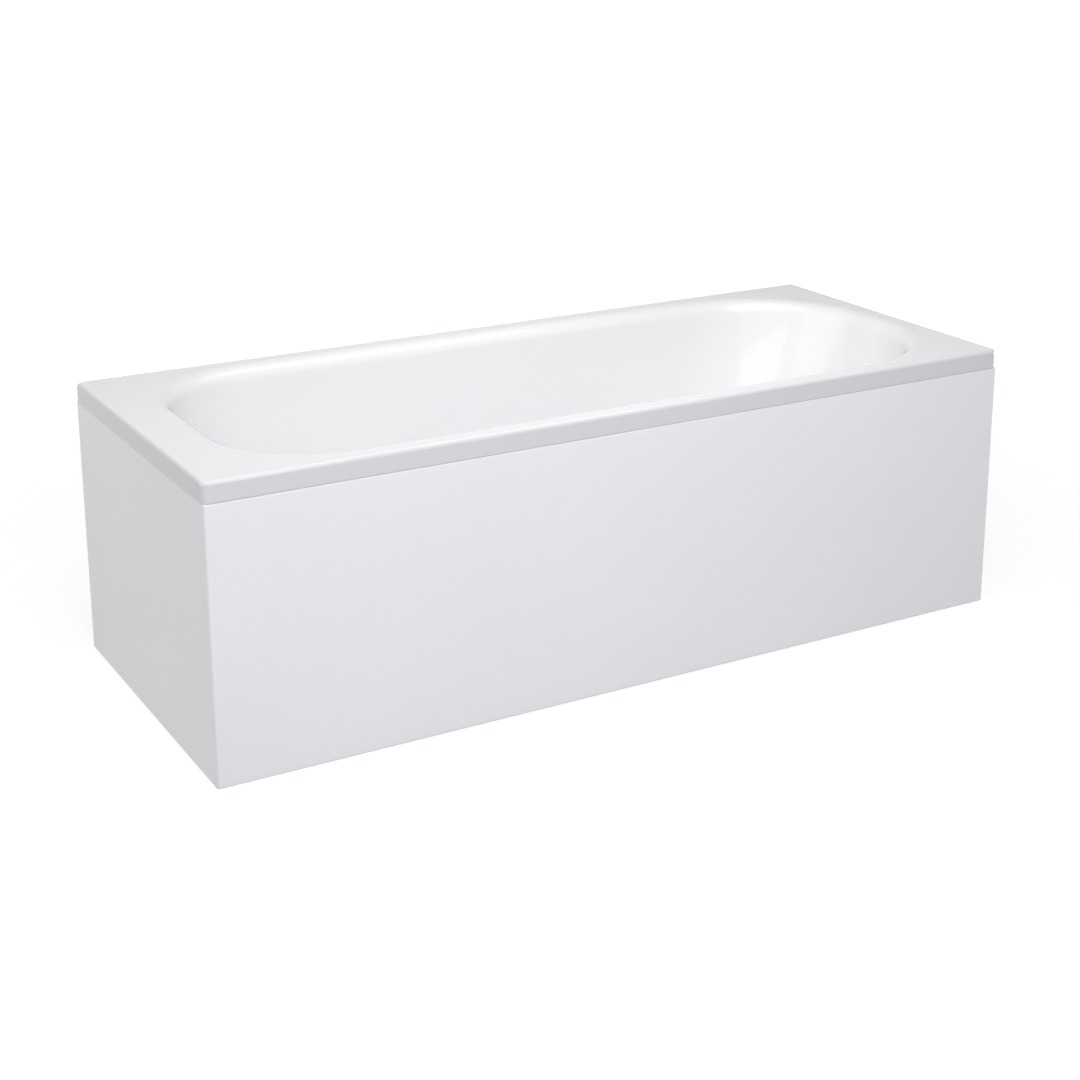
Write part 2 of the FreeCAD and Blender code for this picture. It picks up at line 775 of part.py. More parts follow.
def waste_body():
    """Moulded cup under the bath floor: overflow inlet, cable lug, lever bearings and tail."""
    flange = disc(body_flange_radius, (body_top - body_flange_thickness, body_top))
    cup = disc(body_radius, (body_bottom, body_top))
    tail = disc(pipe_radius, (tail_bottom, body_bottom))
    spigot = rod(overflow_pipe_radius, V(0, 0, inlet_z), V(-body_radius - inlet_spigot_length, 0, inlet_z))
    lug = box((-lug_length / 2, lug_length / 2), (body_radius - body_wall, cable_offset + lug_depth / 2),
              (cable_z - lug_height / 2, cable_z + lug_height / 2))
    bore = flange_tube_radius + thread_clearance
    chamber = disc(bore, (body_bottom + body_wall, body_top))
    inlet = rod(overflow_pipe_radius - overflow_pipe_wall, V(0, 0, inlet_z),
                V(-body_radius - inlet_spigot_length, 0, inlet_z))
    drain = disc(pipe_radius - pipe_wall, (tail_bottom, body_bottom + body_wall))
    cable_hole = rod(cable_radius + pilot_clearance, V(-lug_length / 2, cable_offset, cable_z),
                     V(-lug_length / 2 + cable_seat, cable_offset, cable_z))
    half_pin = V(0, lever_pin_length / 2, 0)
    pivot = V(lever_reach, 0, pivot_z)
    pin_hole = rod(lever_pin_radius + slip, pivot - half_pin, pivot + half_pin)
    solid = fuse(flange, cup, tail, spigot, lug)
    return moved(cut(solid, chamber, inlet, drain, cable_hole, pin_hole), waste_x, 0, 0)


def waste_plug():
    """Domed plug on a stem that slides in the flange's guide."""
    crown_top = plug_under + plug_edge + plug_crown
    dome = (plug_radius ** 2 + plug_crown ** 2) / (2 * plug_crown)
    cap = disc(plug_radius, (plug_under, crown_top)).common(Part.makeSphere(dome, V(0, 0, crown_top - dome)))
    return moved(fuse(cap, disc(stem_radius, (stem_bottom, plug_under))), waste_x, 0, 0)


def lift_lever():
    """Lever on the pin in the waste body: its round tip lifts the stem."""
    half = lever_width / 2
    tip = V(0, 0, pivot_z - lever_dip)
    pivot = V(lever_reach, 0, pivot_z)
    side = V(pivot.z - tip.z, 0, tip.x - pivot.x).normalize() * (lever_thickness / 2)
    corners = [tip + side, pivot + side, pivot - side, tip - side]
    bar = Part.Face(Part.makePolygon(corners + corners[:1])).extrude(V(0, lever_width, 0))
    bar.translate(V(0, -half, 0))
    sideways = V(0, half, 0)
    solid = fuse(bar, rod(lever_tip_radius, tip - sideways, tip + sideways),
                 rod(lever_boss_radius, pivot - sideways, pivot + sideways))
    return moved(cut(solid, rod(lever_pin_radius + slip, pivot - sideways, pivot + sideways)), waste_x, 0, 0)


def lever_pin():
    """Pin across the waste body that the lever turns on."""
    half_pin = V(0, lever_pin_length / 2, 0)
    pivot = V(waste_x + lever_reach, 0, pivot_z)
    return rod(lever_pin_radius, pivot - half_pin, pivot + half_pin)


# Overflow, pipe, cable and trap


def overflow_plate_piece():
    """Face plate on the foot-end wall, with the threaded tube that clamps the overflow body behind it."""
    bore = flange_tube_radius - flange_tube_wall
    plate = disc(overflow_plate_radius, (overflow_seat_gap, overflow_face))
    plate = plate.makeFillet(overflow_plate / 2, edges_at(plate, overflow_face))
    tube = disc(flange_tube_radius, (overflow_seat_gap - overflow_tube_length, overflow_seat_gap))
    hollow = disc(bore, (overflow_seat_gap - overflow_tube_length, overflow_face))
    guide = spider(bore + flange_tube_wall / 2, (-spoke_height, 0.0), spindle_radius + seam)
    return on_overflow(fuse(cut(fuse(plate, tube), hollow), guide))


def overflow_body():
    """Moulded box behind the wall: outlet below, cable gland beside it."""
    flange = disc(overflow_flange_radius, (overflow_front - overflow_flange_thickness, overflow_front))
    case = disc(overflow_box_radius, (overflow_back, overflow_front))
    spigot = rod(overflow_pipe_radius, V(0, 0, spigot_z), V(spigot_end, 0, spigot_z))
    gland = rod(gland_radius, V(0, cable_offset, spigot_z), V(gland_length, cable_offset, spigot_z))
    room = disc(overflow_box_radius - body_wall,
                (overflow_back + body_wall, overflow_front - overflow_flange_thickness))
    thread = disc(flange_tube_radius + thread_clearance, (overflow_back + body_wall, overflow_front))
    outlet = rod(overflow_pipe_radius - overflow_pipe_wall, V(0, 0, spigot_z), V(spigot_end, 0, spigot_z))
    cable_hole = rod(cable_radius + pilot_clearance, V(gland_length - cable_seat, cable_offset, spigot_z),
                     V(gland_length, cable_offset, spigot_z))
    return on_overflow(cut(fuse(flange, case, spigot, gland), room, thread, outlet, cable_hole))


def overflow_knob():
    """Turning cap that stands off the face plate so that water can pass under it."""
    cap = disc(knob_radius, (knob_base, knob_top))
    cap = cap.makeFillet(knob_edge_radius, edges_at(cap, knob_top))
    hollow = disc(knob_radius - knob_wall, (knob_base, knob_top - knob_wall))
    boss = disc(spindle_radius + knob_wall, (knob_base, knob_top - knob_wall))
    half = knob_grip_width / 2
    reach = knob_radius - knob_edge_radius
    grip = box((-reach, reach), (-half, half), (knob_top, knob_top + knob_grip_height)).common(
        disc(reach, (knob_top, knob_top + knob_grip_height)))
    grip = grip.makeFillet(knob_grip_width / 4, edges_at(grip, knob_top + knob_grip_height))
    socket = disc(spindle_radius, (knob_base, knob_base + spindle_seat))
    return on_overflow(cut(fuse(cut(cap, hollow), boss, grip), socket))


def knob_spindle():
    """Spindle from the knob to the cam that pulls the cable."""
    low = overflow_back + body_wall + cam_gap
    shaft = disc(spindle_radius, (low, knob_base + spindle_seat))
    cam = disc(cam_radius, (low, low + cam_height))
    pin = disc(cam_pin_radius, (low + cam_height, low + cam_height + cam_pin_height), 0.0, cam_radius * 2 / 3)
    return on_overflow(fuse(shaft, cam, pin))


def union_nut(radius, bore, length):
    """A ribbed hand nut about the upright axis, centred on zero."""
    z_range = (-length / 2, length / 2)
    ribs = [disc(nut_rib_radius, z_range, radius * math.cos(math.tau * i / nut_ribs),
                 radius * math.sin(math.tau * i / nut_ribs)) for i in range(nut_ribs)]
    return cut(fuse(disc(radius, z_range), *ribs), disc(bore, z_range))


def pipe_nuts():
    """The overflow pipe's two union nuts, each across a joint."""
    nut = union_nut(pipe_nut_radius, overflow_pipe_radius + seam, pipe_nut_length)
    sideways = nut.copy()
    sideways.rotate(V(0, 0, 0), V(0, 1, 0), 90)
    at_body = moved(sideways, inlet_end - seam / 2, 0, inlet_z)
    at_overflow = on_overflow(moved(sideways, spigot_end + seam / 2, 0, spigot_z))
    return [at_overflow, at_body]


def down_and_along(start, y, z, end_x):
    """Corners of a route that leaves the overflow body along the wall and then runs level to the waste."""
    down = overflow_place(1, 0, 0) - overflow_place(0, 0, 0)
    corner = start + down * ((z - start.z) / down.z)
    return [start, V(corner.x, y, z), V(end_x, y, z)]


def overflow_pipe():
    """Pipe from the overflow body to the waste body."""
    route = down_and_along(overflow_place(spigot_end + seam, 0, spigot_z), 0, inlet_z, inlet_end - seam)
    return cut(swept(overflow_pipe_radius, route, pipe_bend),
               swept(overflow_pipe_radius - overflow_pipe_wall, route, pipe_bend))


def control_cable():
    """Sheathed cable from the knob's cam to the lift lever, held in a gland and a lug."""
    start = overflow_place(gland_length - cable_seat, cable_offset, spigot_z)
    end_x = waste_x - lug_length / 2 + cable_seat
    return swept(cable_radius, down_and_along(start, cable_offset, cable_z, end_x), pipe_bend)


def trap():
    """Trap in one bent pipe: down, along the floor, up and out to the back."""
    corners = [(0, tail_bottom - seam), (0, trap_dip_z), (trap_riser_y, trap_dip_z),
               (trap_riser_y, outlet_z), (outlet_y, outlet_z)]
    route = [V(waste_x, y, z) for y, z in corners]
    return cut(swept(pipe_radius, route, trap_bend), swept(pipe_radius - pipe_wall, route, trap_bend))


def trap_nut():
    """Union nut that joins the trap to the waste body's tail."""
    nut = union_nut(trap_nut_radius, pipe_radius + seam, trap_nut_length)
    return moved(nut, waste_x, 0, tail_bottom - seam / 2)


def pieces():
    """Every piece by its name; a list is a group of equal loose pieces."""
    front_panel, end_panel = panel_pair()
    clip_screw = moved(turned_over(screw(batten_screw_length)), 0, *clip_screw_spot)
    rail_screw = turned_over(screw(rail_screw_length))
    bracket_screw = driven_out(screw(batten_screw_length))
    side_screws = [moved(bracket_screw, *place) for place in bracket_screw_places(side_rim)]
    head_screws = [moved(bracket_screw, *place) for place in bracket_screw_places(head_rim)]
    upper_seal = ring(flange_radius - seal_margin, waste_hole_radius, (seat_top, flange_seat), waste_x)
    lower_seal = ring(body_flange_radius - seal_margin, waste_hole_radius, (body_top, seat_under), waste_x)
    plug_seal = ring(plug_seal_radius, plug_seal_radius - plug_seal_width,
                     (plug_under - plug_seal_thickness, plug_under), waste_x)
    overflow_seal = ring(overflow_flange_radius - seal_margin, overflow_hole_radius,
                         (overflow_front, overflow_front + overflow_seal_thickness))
    made = {
        "bath_shell": bath_shell(),
        "base_board": base_board(),
        "rail_screws": [moved(rail_screw, *spot) for spot in rail_screw_spots()],
        "weld_nuts": leg_nuts(0.0),
        "lock_nuts": leg_nuts(nut_height),
        "front_panel": front_panel,
        "end_panel": end_panel,
        "panel_angle": panel_angle(),
        "panel_clips": ([at_front(panel_clip(), x) for x in front_clips]
                        + [at_foot(panel_clip(), y) for y in end_clips]),
        "clip_screws": ([at_front(clip_screw, x) for x in front_clips]
                        + [at_foot(clip_screw, y) for y in end_clips]),
        "floor_blocks": ([at_front(floor_block(), x) for x in spread(2, front_block_spacing)]
                         + [at_foot(floor_block(), y) for y in spread(2, end_block_spacing)]),
        "wall_brackets": ([at_back(wall_bracket(side_rim), x) for x in back_brackets]
                          + [at_head(wall_bracket(head_rim), y) for y in head_brackets]),
        "bracket_screws": ([at_back(one, x) for one in side_screws for x in back_brackets]
                           + [at_head(one, y) for one in head_screws for y in head_brackets]),
        "waste_flange": waste_flange(),
        "waste_upper_seal": upper_seal,
        "waste_lower_seal": lower_seal,
        "waste_body": waste_body(),
        "waste_plug": waste_plug(),
        "plug_seal": plug_seal,
        "lift_lever": lift_lever(),
        "lever_pin": lever_pin(),
        "overflow_plate": overflow_plate_piece(),
        "overflow_seal": on_overflow(overflow_seal),
        "overflow_body": overflow_body(),
        "overflow_knob": overflow_knob(),
        "knob_spindle": knob_spindle(),
        "overflow_pipe": overflow_pipe(),
        "pipe_nuts": pipe_nuts(),
        "control_cable": control_cable(),
        "trap": trap(),
        "trap_nut": trap_nut(),
    }
    for side, batten in rim_battens().items():
        made["rim_batten_" + side] = batten
    for end, x in rail_places.items():
        made["leg_rail_" + end] = leg_rail(x)
        for side, y in zip(("front", "back"), leg_rows):
            made["leg_stud_" + end + "_" + side] = leg_stud(x, y)
            made["leg_pad_" + end + "_" + side] = leg_pad(x, y)
    return made


os.makedirs("parts", exist_ok=True)
for piece_name, piece in pieces().items():
    shape = Part.makeCompound(piece) if isinstance(piece, list) else piece
    shape.exportStep("parts/" + piece_name + ".step")
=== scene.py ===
"""Dresses a white acrylic bath with a front and an end panel for a plain studio picture.

The bath's shell and the threads of its legs are drawn here as surfaces worked out from their sizes. Every
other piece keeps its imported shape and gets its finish. Sizes are in millimetres unless they say otherwise,
and meshes are made in metres.
"""

import json
import logging
import math
from dataclasses import dataclass
from enum import Enum

import bpy
import numpy as np
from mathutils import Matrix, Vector

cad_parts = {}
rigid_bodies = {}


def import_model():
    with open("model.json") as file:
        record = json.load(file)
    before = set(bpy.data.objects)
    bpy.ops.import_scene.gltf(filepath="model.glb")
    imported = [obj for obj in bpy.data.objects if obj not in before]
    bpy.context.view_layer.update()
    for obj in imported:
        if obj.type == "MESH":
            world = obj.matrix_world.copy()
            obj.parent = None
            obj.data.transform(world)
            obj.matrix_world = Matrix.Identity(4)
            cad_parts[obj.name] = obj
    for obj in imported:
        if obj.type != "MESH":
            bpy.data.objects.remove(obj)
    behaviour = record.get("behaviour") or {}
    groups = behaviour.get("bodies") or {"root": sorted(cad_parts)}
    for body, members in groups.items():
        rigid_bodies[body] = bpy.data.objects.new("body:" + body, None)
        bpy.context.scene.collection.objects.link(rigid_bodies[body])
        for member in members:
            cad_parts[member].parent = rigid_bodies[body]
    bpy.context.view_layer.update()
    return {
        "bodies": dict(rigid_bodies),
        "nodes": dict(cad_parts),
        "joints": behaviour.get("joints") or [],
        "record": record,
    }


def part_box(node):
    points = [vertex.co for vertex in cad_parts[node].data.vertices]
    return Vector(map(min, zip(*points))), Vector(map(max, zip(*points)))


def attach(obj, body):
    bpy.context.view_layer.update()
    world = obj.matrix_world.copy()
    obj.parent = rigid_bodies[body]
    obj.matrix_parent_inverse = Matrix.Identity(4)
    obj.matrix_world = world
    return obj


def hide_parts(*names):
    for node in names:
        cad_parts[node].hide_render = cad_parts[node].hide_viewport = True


MM = 0.001
LOG = logging.getLogger("bath")


class Grain(Enum):
    """The way that a board's grain runs, as the turn about the upright axis from the bath's length."""

    ALONG_BATH = 0.0
    ACROSS_BATH = 90.0


def linear(hex_colour: str) -> tuple[float, float, float, float]:
    """Turns an sRGB hex colour to linear light.

    Args:
        hex_colour: A hash sign and six hex digits.

    Returns:
        Red, green, blue and full alpha.
    """
    srgb = np.array([int(hex_colour[i:i + 2], 16) for i in (1, 3, 5)]) / 255
    light = np.where(srgb <= 0.04045, srgb / 12.92, ((srgb + 0.055) / 1.055) ** 2.4)
    return (*light.tolist(), 1.0)


def add_node(
    tree: bpy.types.NodeTree,
    kind: str,
    settings: dict[str | int, object] | None = None,
    links: dict[str | int, bpy.types.NodeSocket] | None = None,
) -> bpy.types.Node:
    """Adds a shader node with its settings and links.

    Args:
        tree: The node tree that gets the node.
        kind: The node's type.
        settings: Values for the node's properties, or for its input sockets by name or number.
        links: Output sockets that feed the node's input sockets, by name or number.

    Returns:
        The new node.
    """
    node = tree.nodes.new(kind)
    for key, value in (settings or {}).items():
        if isinstance(key, str) and hasattr(node, key):
            setattr(node, key, value)
        else:
            node.inputs[key].default_value = value
    for key, source in (links or {}).items():
        tree.links.new(source, node.inputs[key])
    return node


def start_material(name: str) -> tuple[bpy.types.Material, bpy.types.NodeTree, bpy.types.NodeSocket]:
    """Starts a material that reads Object coordinates.

    Args:
        name: The material's name.

    Returns:
        The material, its empty node tree and the coordinates' socket.
    """
    material = bpy.data.materials.new(name)
    material.use_nodes = True
    material.node_tree.nodes.clear()
    places = add_node(material.node_tree, "ShaderNodeTexCoord")
    return material, material.node_tree, places.outputs["Object"]


def close_material(
    tree: bpy.types.NodeTree,
    settings: dict[str | int, object],
    links: dict[str | int, bpy.types.NodeSocket],
) -> None:
    """Ends a material with its surface shader.

    Args:
        tree: The material's node tree.
        settings: Values that are the same all over the surface.
        links: Sockets that vary over the surface.
    """
    shader = add_node(tree, "ShaderNodeBsdfPrincipled", settings, links)
    add_node(tree, "ShaderNodeOutputMaterial", links={"Surface": shader.outputs["BSDF"]})


def spread_ramp(ramp: bpy.types.Node, tones: tuple[str, ...]) -> None:
    """Sets a ramp's colours at even steps.

    Args:
        ramp: The colour ramp node, with its two first stops.
        tones: The sRGB hex colours from low to high.
    """
    stops = ramp.color_ramp.elements
    for share in np.linspace(0, 1, len(tones))[1:-1]:
        stops.new(float(share))
    for stop, tone in zip(stops, tones):
        stop.color = linear(tone)


def close_metal(
    tree: bpy.types.NodeTree,
    pattern: bpy.types.NodeSocket,
    tones: tuple[str, str],
    gloss: tuple[float, float],
) -> None:
    """Ends a bare metal's material, in which the tone and the roughness follow one pattern.

    Args:
        tree: The material's node tree.
        pattern: A socket that goes from 0 to 1 over the surface.
        tones: The sRGB hex colours at 0 and at 1.
        gloss: The roughness at 0 and at 1.
    """
    tone = add_node(tree, "ShaderNodeMix", {"data_type": "RGBA", 6: linear(tones[0]), 7: linear(tones[1])},
                    {0: pattern})
    rough = add_node(tree, "ShaderNodeMapRange", {"To Min": gloss[0], "To Max": gloss[1]}, {"Value": pattern})
    close_material(tree, {"Metallic": 1.0}, {"Base Color": tone.outputs[2], "Roughness": rough.outputs[0]})


@dataclass(frozen=True)
class CastAcrylic:
    """Cast acrylic sheet drawn down over a mould.

    The eye sees an even, clean white with a wet gloss. Slow ripples from the moulding bend its reflections a
    little, and the white drifts by a shade. Where the mesh's own "drawn" value rises to 1 it is painted grey,
    as painted shade on the bath's skirt face.
    """

    name: str
    white: str = "#F5F6F7"
    shade: str = "#F0F1F3"
    thin: str | None = None  # painted shade, shown where the mesh's own "drawn" value is 1
    gloss: tuple[float, float] = (0.04, 0.07)
    ripple_mm: float = 170.0
    ripple_height_mm: float = 0.12
    stretch_mm: float = 420.0
    wipe_mm: float = 28.0

    def build(self) -> bpy.types.Material:
        """Makes the material."""
        material, tree, places = start_material(self.name)
        stretch = add_node(tree, "ShaderNodeTexNoise", {"Scale": 1 / (self.stretch_mm * MM), "Detail": 1.0},
                           {"Vector": places})
        white = add_node(tree, "ShaderNodeMix",
                         {"data_type": "RGBA", 6: linear(self.white), 7: linear(self.shade)},
                         {0: stretch.outputs[0]})
        # painted shade: the white greys by the mesh's "drawn" value, standing in for shade on the skirt face
        if self.thin:
            drawn = add_node(tree, "ShaderNodeAttribute", {"attribute_name": "drawn"})
            white = add_node(tree, "ShaderNodeMix", {"data_type": "RGBA", 7: linear(self.thin)},
                             {0: drawn.outputs["Fac"], 6: white.outputs[2]})
        wipe = add_node(tree, "ShaderNodeTexNoise", {"Scale": 1 / (self.wipe_mm * MM), "Detail": 3.0},
                        {"Vector": places})
        gloss = add_node(tree, "ShaderNodeMapRange", {"To Min": self.gloss[0], "To Max": self.gloss[1]},
                         {"Value": wipe.outputs[0]})
        ripple = add_node(tree, "ShaderNodeTexNoise", {"Scale": 1 / (self.ripple_mm * MM), "Detail": 0.5},
                          {"Vector": places})
        relief = add_node(tree, "ShaderNodeBump", {"Strength": 1.0, "Distance": self.ripple_height_mm * MM},
                          {"Height": ripple.outputs[0]})
        close_material(tree, {"IOR": 1.49}, {"Base Color": white.outputs[2], "Roughness": gloss.outputs[0],
                                             "Normal": relief.outputs[0]})
        return material


@dataclass(frozen=True)
class GlassFibreBacking:
    """Chopped glass strands sprayed with resin on the back of the shell.

    The eye sees a dull cream coat, with pale strands lying across each other and a lumpy, resin-wet skin.
    """

    name: str
    resin: str = "#D6D1C0"
    strand: str = "#ECE9DF"
    strand_long_mm: float = 46.0
    strand_wide_mm: float = 2.2  # three times the real width, to show at a distance
    strand_cut: tuple[float, float] = (0.55, 0.68)  # the noise levels between which a strand's edge lies
    strand_rise: float = 0.35  # a strand's height as a share of a lump's
    lump_mm: float = 24.0
    lump_height_mm: float = 1.2
    roughness: float = 0.48
    lay_turns_deg: tuple[tuple[float, float, float], ...] = (
        (0, 0, 12), (20, 0, 75), (0, 35, 130), (70, 20, 40))

    def build(self) -> bpy.types.Material:
        """Makes the material."""
        material, tree, places = start_material(self.name)
        size_mm = (self.strand_long_mm, self.strand_wide_mm, self.strand_wide_mm)
        strands = None
        for turn in self.lay_turns_deg:
            lay = add_node(tree, "ShaderNodeMapping", {"Rotation": [math.radians(a) for a in turn]},
                           {"Vector": places})
            thin = add_node(tree, "ShaderNodeMapping", {"Scale": [1 / (s * MM) for s in size_mm]},
                            {"Vector": lay.outputs[0]})
            streak = add_node(tree, "ShaderNodeTexNoise", {"Scale": 1.0, "Detail": 1.0},
                              {"Vector": thin.outputs[0]})
            bright = add_node(tree, "ShaderNodeMapRange",
                              {"From Min": self.strand_cut[0], "From Max": self.strand_cut[1]},
                              {"Value": streak.outputs[0]})
            if strands is None:
                strands = bright.outputs[0]
            else:
                strands = add_node(tree, "ShaderNodeMath", {"operation": "MAXIMUM"},
                                   {0: strands, 1: bright.outputs[0]}).outputs[0]
        colour = add_node(tree, "ShaderNodeMix",
                          {"data_type": "RGBA", 6: linear(self.resin), 7: linear(self.strand)}, {0: strands})
        lump = add_node(tree, "ShaderNodeTexNoise", {"Scale": 1 / (self.lump_mm * MM), "Detail": 4.0},
                        {"Vector": places})
        height = add_node(tree, "ShaderNodeMath", {"operation": "MULTIPLY_ADD", 1: self.strand_rise},
                          {0: strands, 2: lump.outputs[0]})
        relief = add_node(tree, "ShaderNodeBump", {"Strength": 0.8, "Distance": self.lump_height_mm * MM},
                          {"Height": height.outputs[0]})
        close_material(tree, {"Roughness": self.roughness, "IOR": 1.53},
                       {"Base Color": colour.outputs[2], "Normal": relief.outputs[0]})
        return material


@dataclass(frozen=True)
class Chipboard:
    """Pressed wood chips.

    The eye sees straw-coloured flakes of many tones, a few millimetres long, in a dry, slightly rough face.
    """

    name: str
    tones: tuple[str, ...] = ("#7E5D38", "#B08C5C", "#CDAE7C", "#E0C799")
    chip_mm: tuple[float, float, float] = (9.0, 4.5, 2.5)
    dust_mm: float = 1.6
    dust_share: float = 0.35
    sway_mm: float = 27.0
    sway_share: float = 0.012  # how much of a slow noise bends the rows of chips
    chip_height_mm: float = 0.4
    roughness: float = 0.82

    def build(self) -> bpy.types.Material:
        """Makes the material."""
        material, tree, places = start_material(self.name)
        sway = add_node(tree, "ShaderNodeTexNoise", {"Scale": 1 / (self.sway_mm * MM)}, {"Vector": places})
        bent = add_node(tree, "ShaderNodeMix", {"data_type": "VECTOR", 0: self.sway_share},
                        {4: places, 5: sway.outputs[1]})
        chips = add_node(tree, "ShaderNodeMapping", {"Scale": [1 / (s * MM) for s in self.chip_mm]},
                         {"Vector": bent.outputs[1]})
        chip = add_node(tree, "ShaderNodeTexVoronoi", {"Scale": 1.0}, {"Vector": chips.outputs[0]})
        dust = add_node(tree, "ShaderNodeTexNoise", {"Scale": 1 / (self.dust_mm * MM), "Detail": 3.0},
                        {"Vector": places})
        tone = add_node(tree, "ShaderNodeMix", {0: self.dust_share},
                        {2: chip.outputs["Color"], 3: dust.outputs[0]})
        ramp = add_node(tree, "ShaderNodeValToRGB", links={"Fac": tone.outputs[0]})
        spread_ramp(ramp, self.tones)
        relief = add_node(tree, "ShaderNodeBump", {"Strength": 0.5, "Distance": self.chip_height_mm * MM},
                          {"Height": tone.outputs[0]})
        close_material(tree, {"Roughness": self.roughness},
                       {"Base Color": ramp.outputs[0], "Normal": relief.outputs[0]})
        return material


@dataclass(frozen=True)
class Softwood:
    """Planed spruce battens.

    The eye sees pale wood with long, slightly wandering darker growth lines and fine fibres along its length.
    """

    name: str
    grain: Grain
    tones: tuple[str, ...] = ("#B98F55", "#D9B982", "#E6CD9C", "#EBD7AC")
    ring_mm: float = 7.0
    run_mm: float = 480.0
    fibre_mm: float = 1.1
    fibre_run_mm: float = 90.0
    fibre_share: float = 0.3
    fibre_height_mm: float = 0.2
    tone_cut: tuple[float, float] = (0.3, 0.68)  # the noise levels at which the tones start and end
    roughness: float = 0.66

    def build(self) -> bpy.types.Material:
        """Makes the material."""
        material, tree, places = start_material(self.name)
        along = add_node(tree, "ShaderNodeMapping", {"Rotation": (0, 0, -math.radians(self.grain.value))},
                         {"Vector": places})
        ring_size = (self.run_mm, self.ring_mm, self.ring_mm)
        rings = add_node(tree, "ShaderNodeMapping", {"Scale": [1 / (s * MM) for s in ring_size]},
                         {"Vector": along.outputs[0]})
        ring = add_node(tree, "ShaderNodeTexNoise", {"Scale": 1.0, "Detail": 2.0, "Distortion": 0.6},
                        {"Vector": rings.outputs[0]})
        fibre_size = (self.fibre_run_mm, self.fibre_mm, self.fibre_mm)
        fibres = add_node(tree, "ShaderNodeMapping", {"Scale": [1 / (s * MM) for s in fibre_size]},
                          {"Vector": along.outputs[0]})
        fibre = add_node(tree, "ShaderNodeTexNoise", {"Scale": 1.0, "Detail": 2.0},
                         {"Vector": fibres.outputs[0]})
        tone = add_node(tree, "ShaderNodeMix", {0: self.fibre_share},
                        {2: ring.outputs[0], 3: fibre.outputs[0]})
        spread_tone = add_node(tree, "ShaderNodeMapRange",
                               {"From Min": self.tone_cut[0], "From Max": self.tone_cut[1]},
                               {"Value": tone.outputs[0]})
        ramp = add_node(tree, "ShaderNodeValToRGB", links={"Fac": spread_tone.outputs[0]})
        spread_ramp(ramp, self.tones)
        relief = add_node(tree, "ShaderNodeBump", {"Strength": 0.4, "Distance": self.fibre_height_mm * MM},
                          {"Height": fibre.outputs[0]})
        close_material(tree, {"Roughness": self.roughness},
                       {"Base Color": ramp.outputs[0], "Normal": relief.outputs[0]})
        return material


@dataclass(frozen=True)
class GalvanisedSheet:
    """Pressed steel sheet with a hot-dip zinc coat.

    The eye sees grey metal with a faint patchwork of crystals, each catching the light a little differently.
    """

    name: str
    dark: str = "#8F9498"
    light: str = "#B9BDC0"
    crystal_mm: float = 11.0
    gloss: tuple[float, float] = (0.3, 0.5)

    def build(self) -> bpy.types.Material:
        """Makes the material."""
        material, tree, places = start_material(self.name)
        crystal = add_node(tree, "ShaderNodeTexVoronoi", {"Scale": 1 / (self.crystal_mm * MM)},
                           {"Vector": places})
        close_metal(tree, crystal.outputs["Color"], (self.dark, self.light), self.gloss)
        return material


@dataclass(frozen=True)
class ZincPlate:
    """Turned or rolled steel with a bright zinc plate.

    The eye sees clean blue-grey metal that goes cloudy in places, and a trace of yellow from its sealer.
    """

    name: str
    blue: str = "#BFC5CA"
    yellow: str = "#CBC7B6"
    cloud_mm: float = 9.0
    gloss: tuple[float, float] = (0.2, 0.38)

    def build(self) -> bpy.types.Material:
        """Makes the material."""
        material, tree, places = start_material(self.name)
        cloud = add_node(tree, "ShaderNodeTexNoise", {"Scale": 1 / (self.cloud_mm * MM), "Detail": 3.0},
                         {"Vector": places})
        close_metal(tree, cloud.outputs[0], (self.blue, self.yellow), self.gloss)
        return material


@dataclass(frozen=True)
class ChromePlate:
    """Polished brass and plastic with a chrome plate.

    The eye sees a hard mirror with a cool tint, softened only by faint wiping marks.
    """

    name: str
    bright: str = "#DDE0E3"
    film: str = "#D2D6D9"
    wipe_mm: float = 16.0
    gloss: tuple[float, float] = (0.04, 0.11)

    def build(self) -> bpy.types.Material:
        """Makes the material."""
        material, tree, places = start_material(self.name)
        wipe = add_node(tree, "ShaderNodeTexNoise", {"Scale": 1 / (self.wipe_mm * MM), "Detail": 4.0},
                        {"Vector": places})
        close_metal(tree, wipe.outputs[0], (self.bright, self.film), self.gloss)
        return material


@dataclass(frozen=True)
class MouldedPolymer:
    """Moulded plastic or rubber with the fine grain of a spark-eroded mould.

    The eye sees an even colour with a soft sheen, broken by a grain of about a millimetre and a slow drift.
    """

    name: str
    colour: str
    drift: str
    roughness: float
    grain_mm: float = 0.9
    grain_height_mm: float = 0.05
    cloud_mm: float = 35.0

    def build(self) -> bpy.types.Material:
        """Makes the material."""
        material, tree, places = start_material(self.name)
        cloud = add_node(tree, "ShaderNodeTexNoise", {"Scale": 1 / (self.cloud_mm * MM), "Detail": 3.0},
                         {"Vector": places})
        tone = add_node(tree, "ShaderNodeMix",
                        {"data_type": "RGBA", 6: linear(self.colour), 7: linear(self.drift)},
                        {0: cloud.outputs[0]})
        grain = add_node(tree, "ShaderNodeTexNoise", {"Scale": 1 / (self.grain_mm * MM), "Detail": 2.0},
                         {"Vector": places})
        relief = add_node(tree, "ShaderNodeBump", {"Strength": 0.6, "Distance": self.grain_height_mm * MM},
                          {"Height": grain.outputs[0]})
        close_material(tree, {"Roughness": self.roughness, "IOR": 1.5},
                       {"Base Color": tone.outputs[2], "Normal": relief.outputs[0]})
        return material


Finish = CastAcrylic | Chipboard | Softwood | GalvanisedSheet | ZincPlate | ChromePlate | MouldedPolymer
PiecesByFinish = tuple[tuple[Finish, tuple[str, ...]], ...]


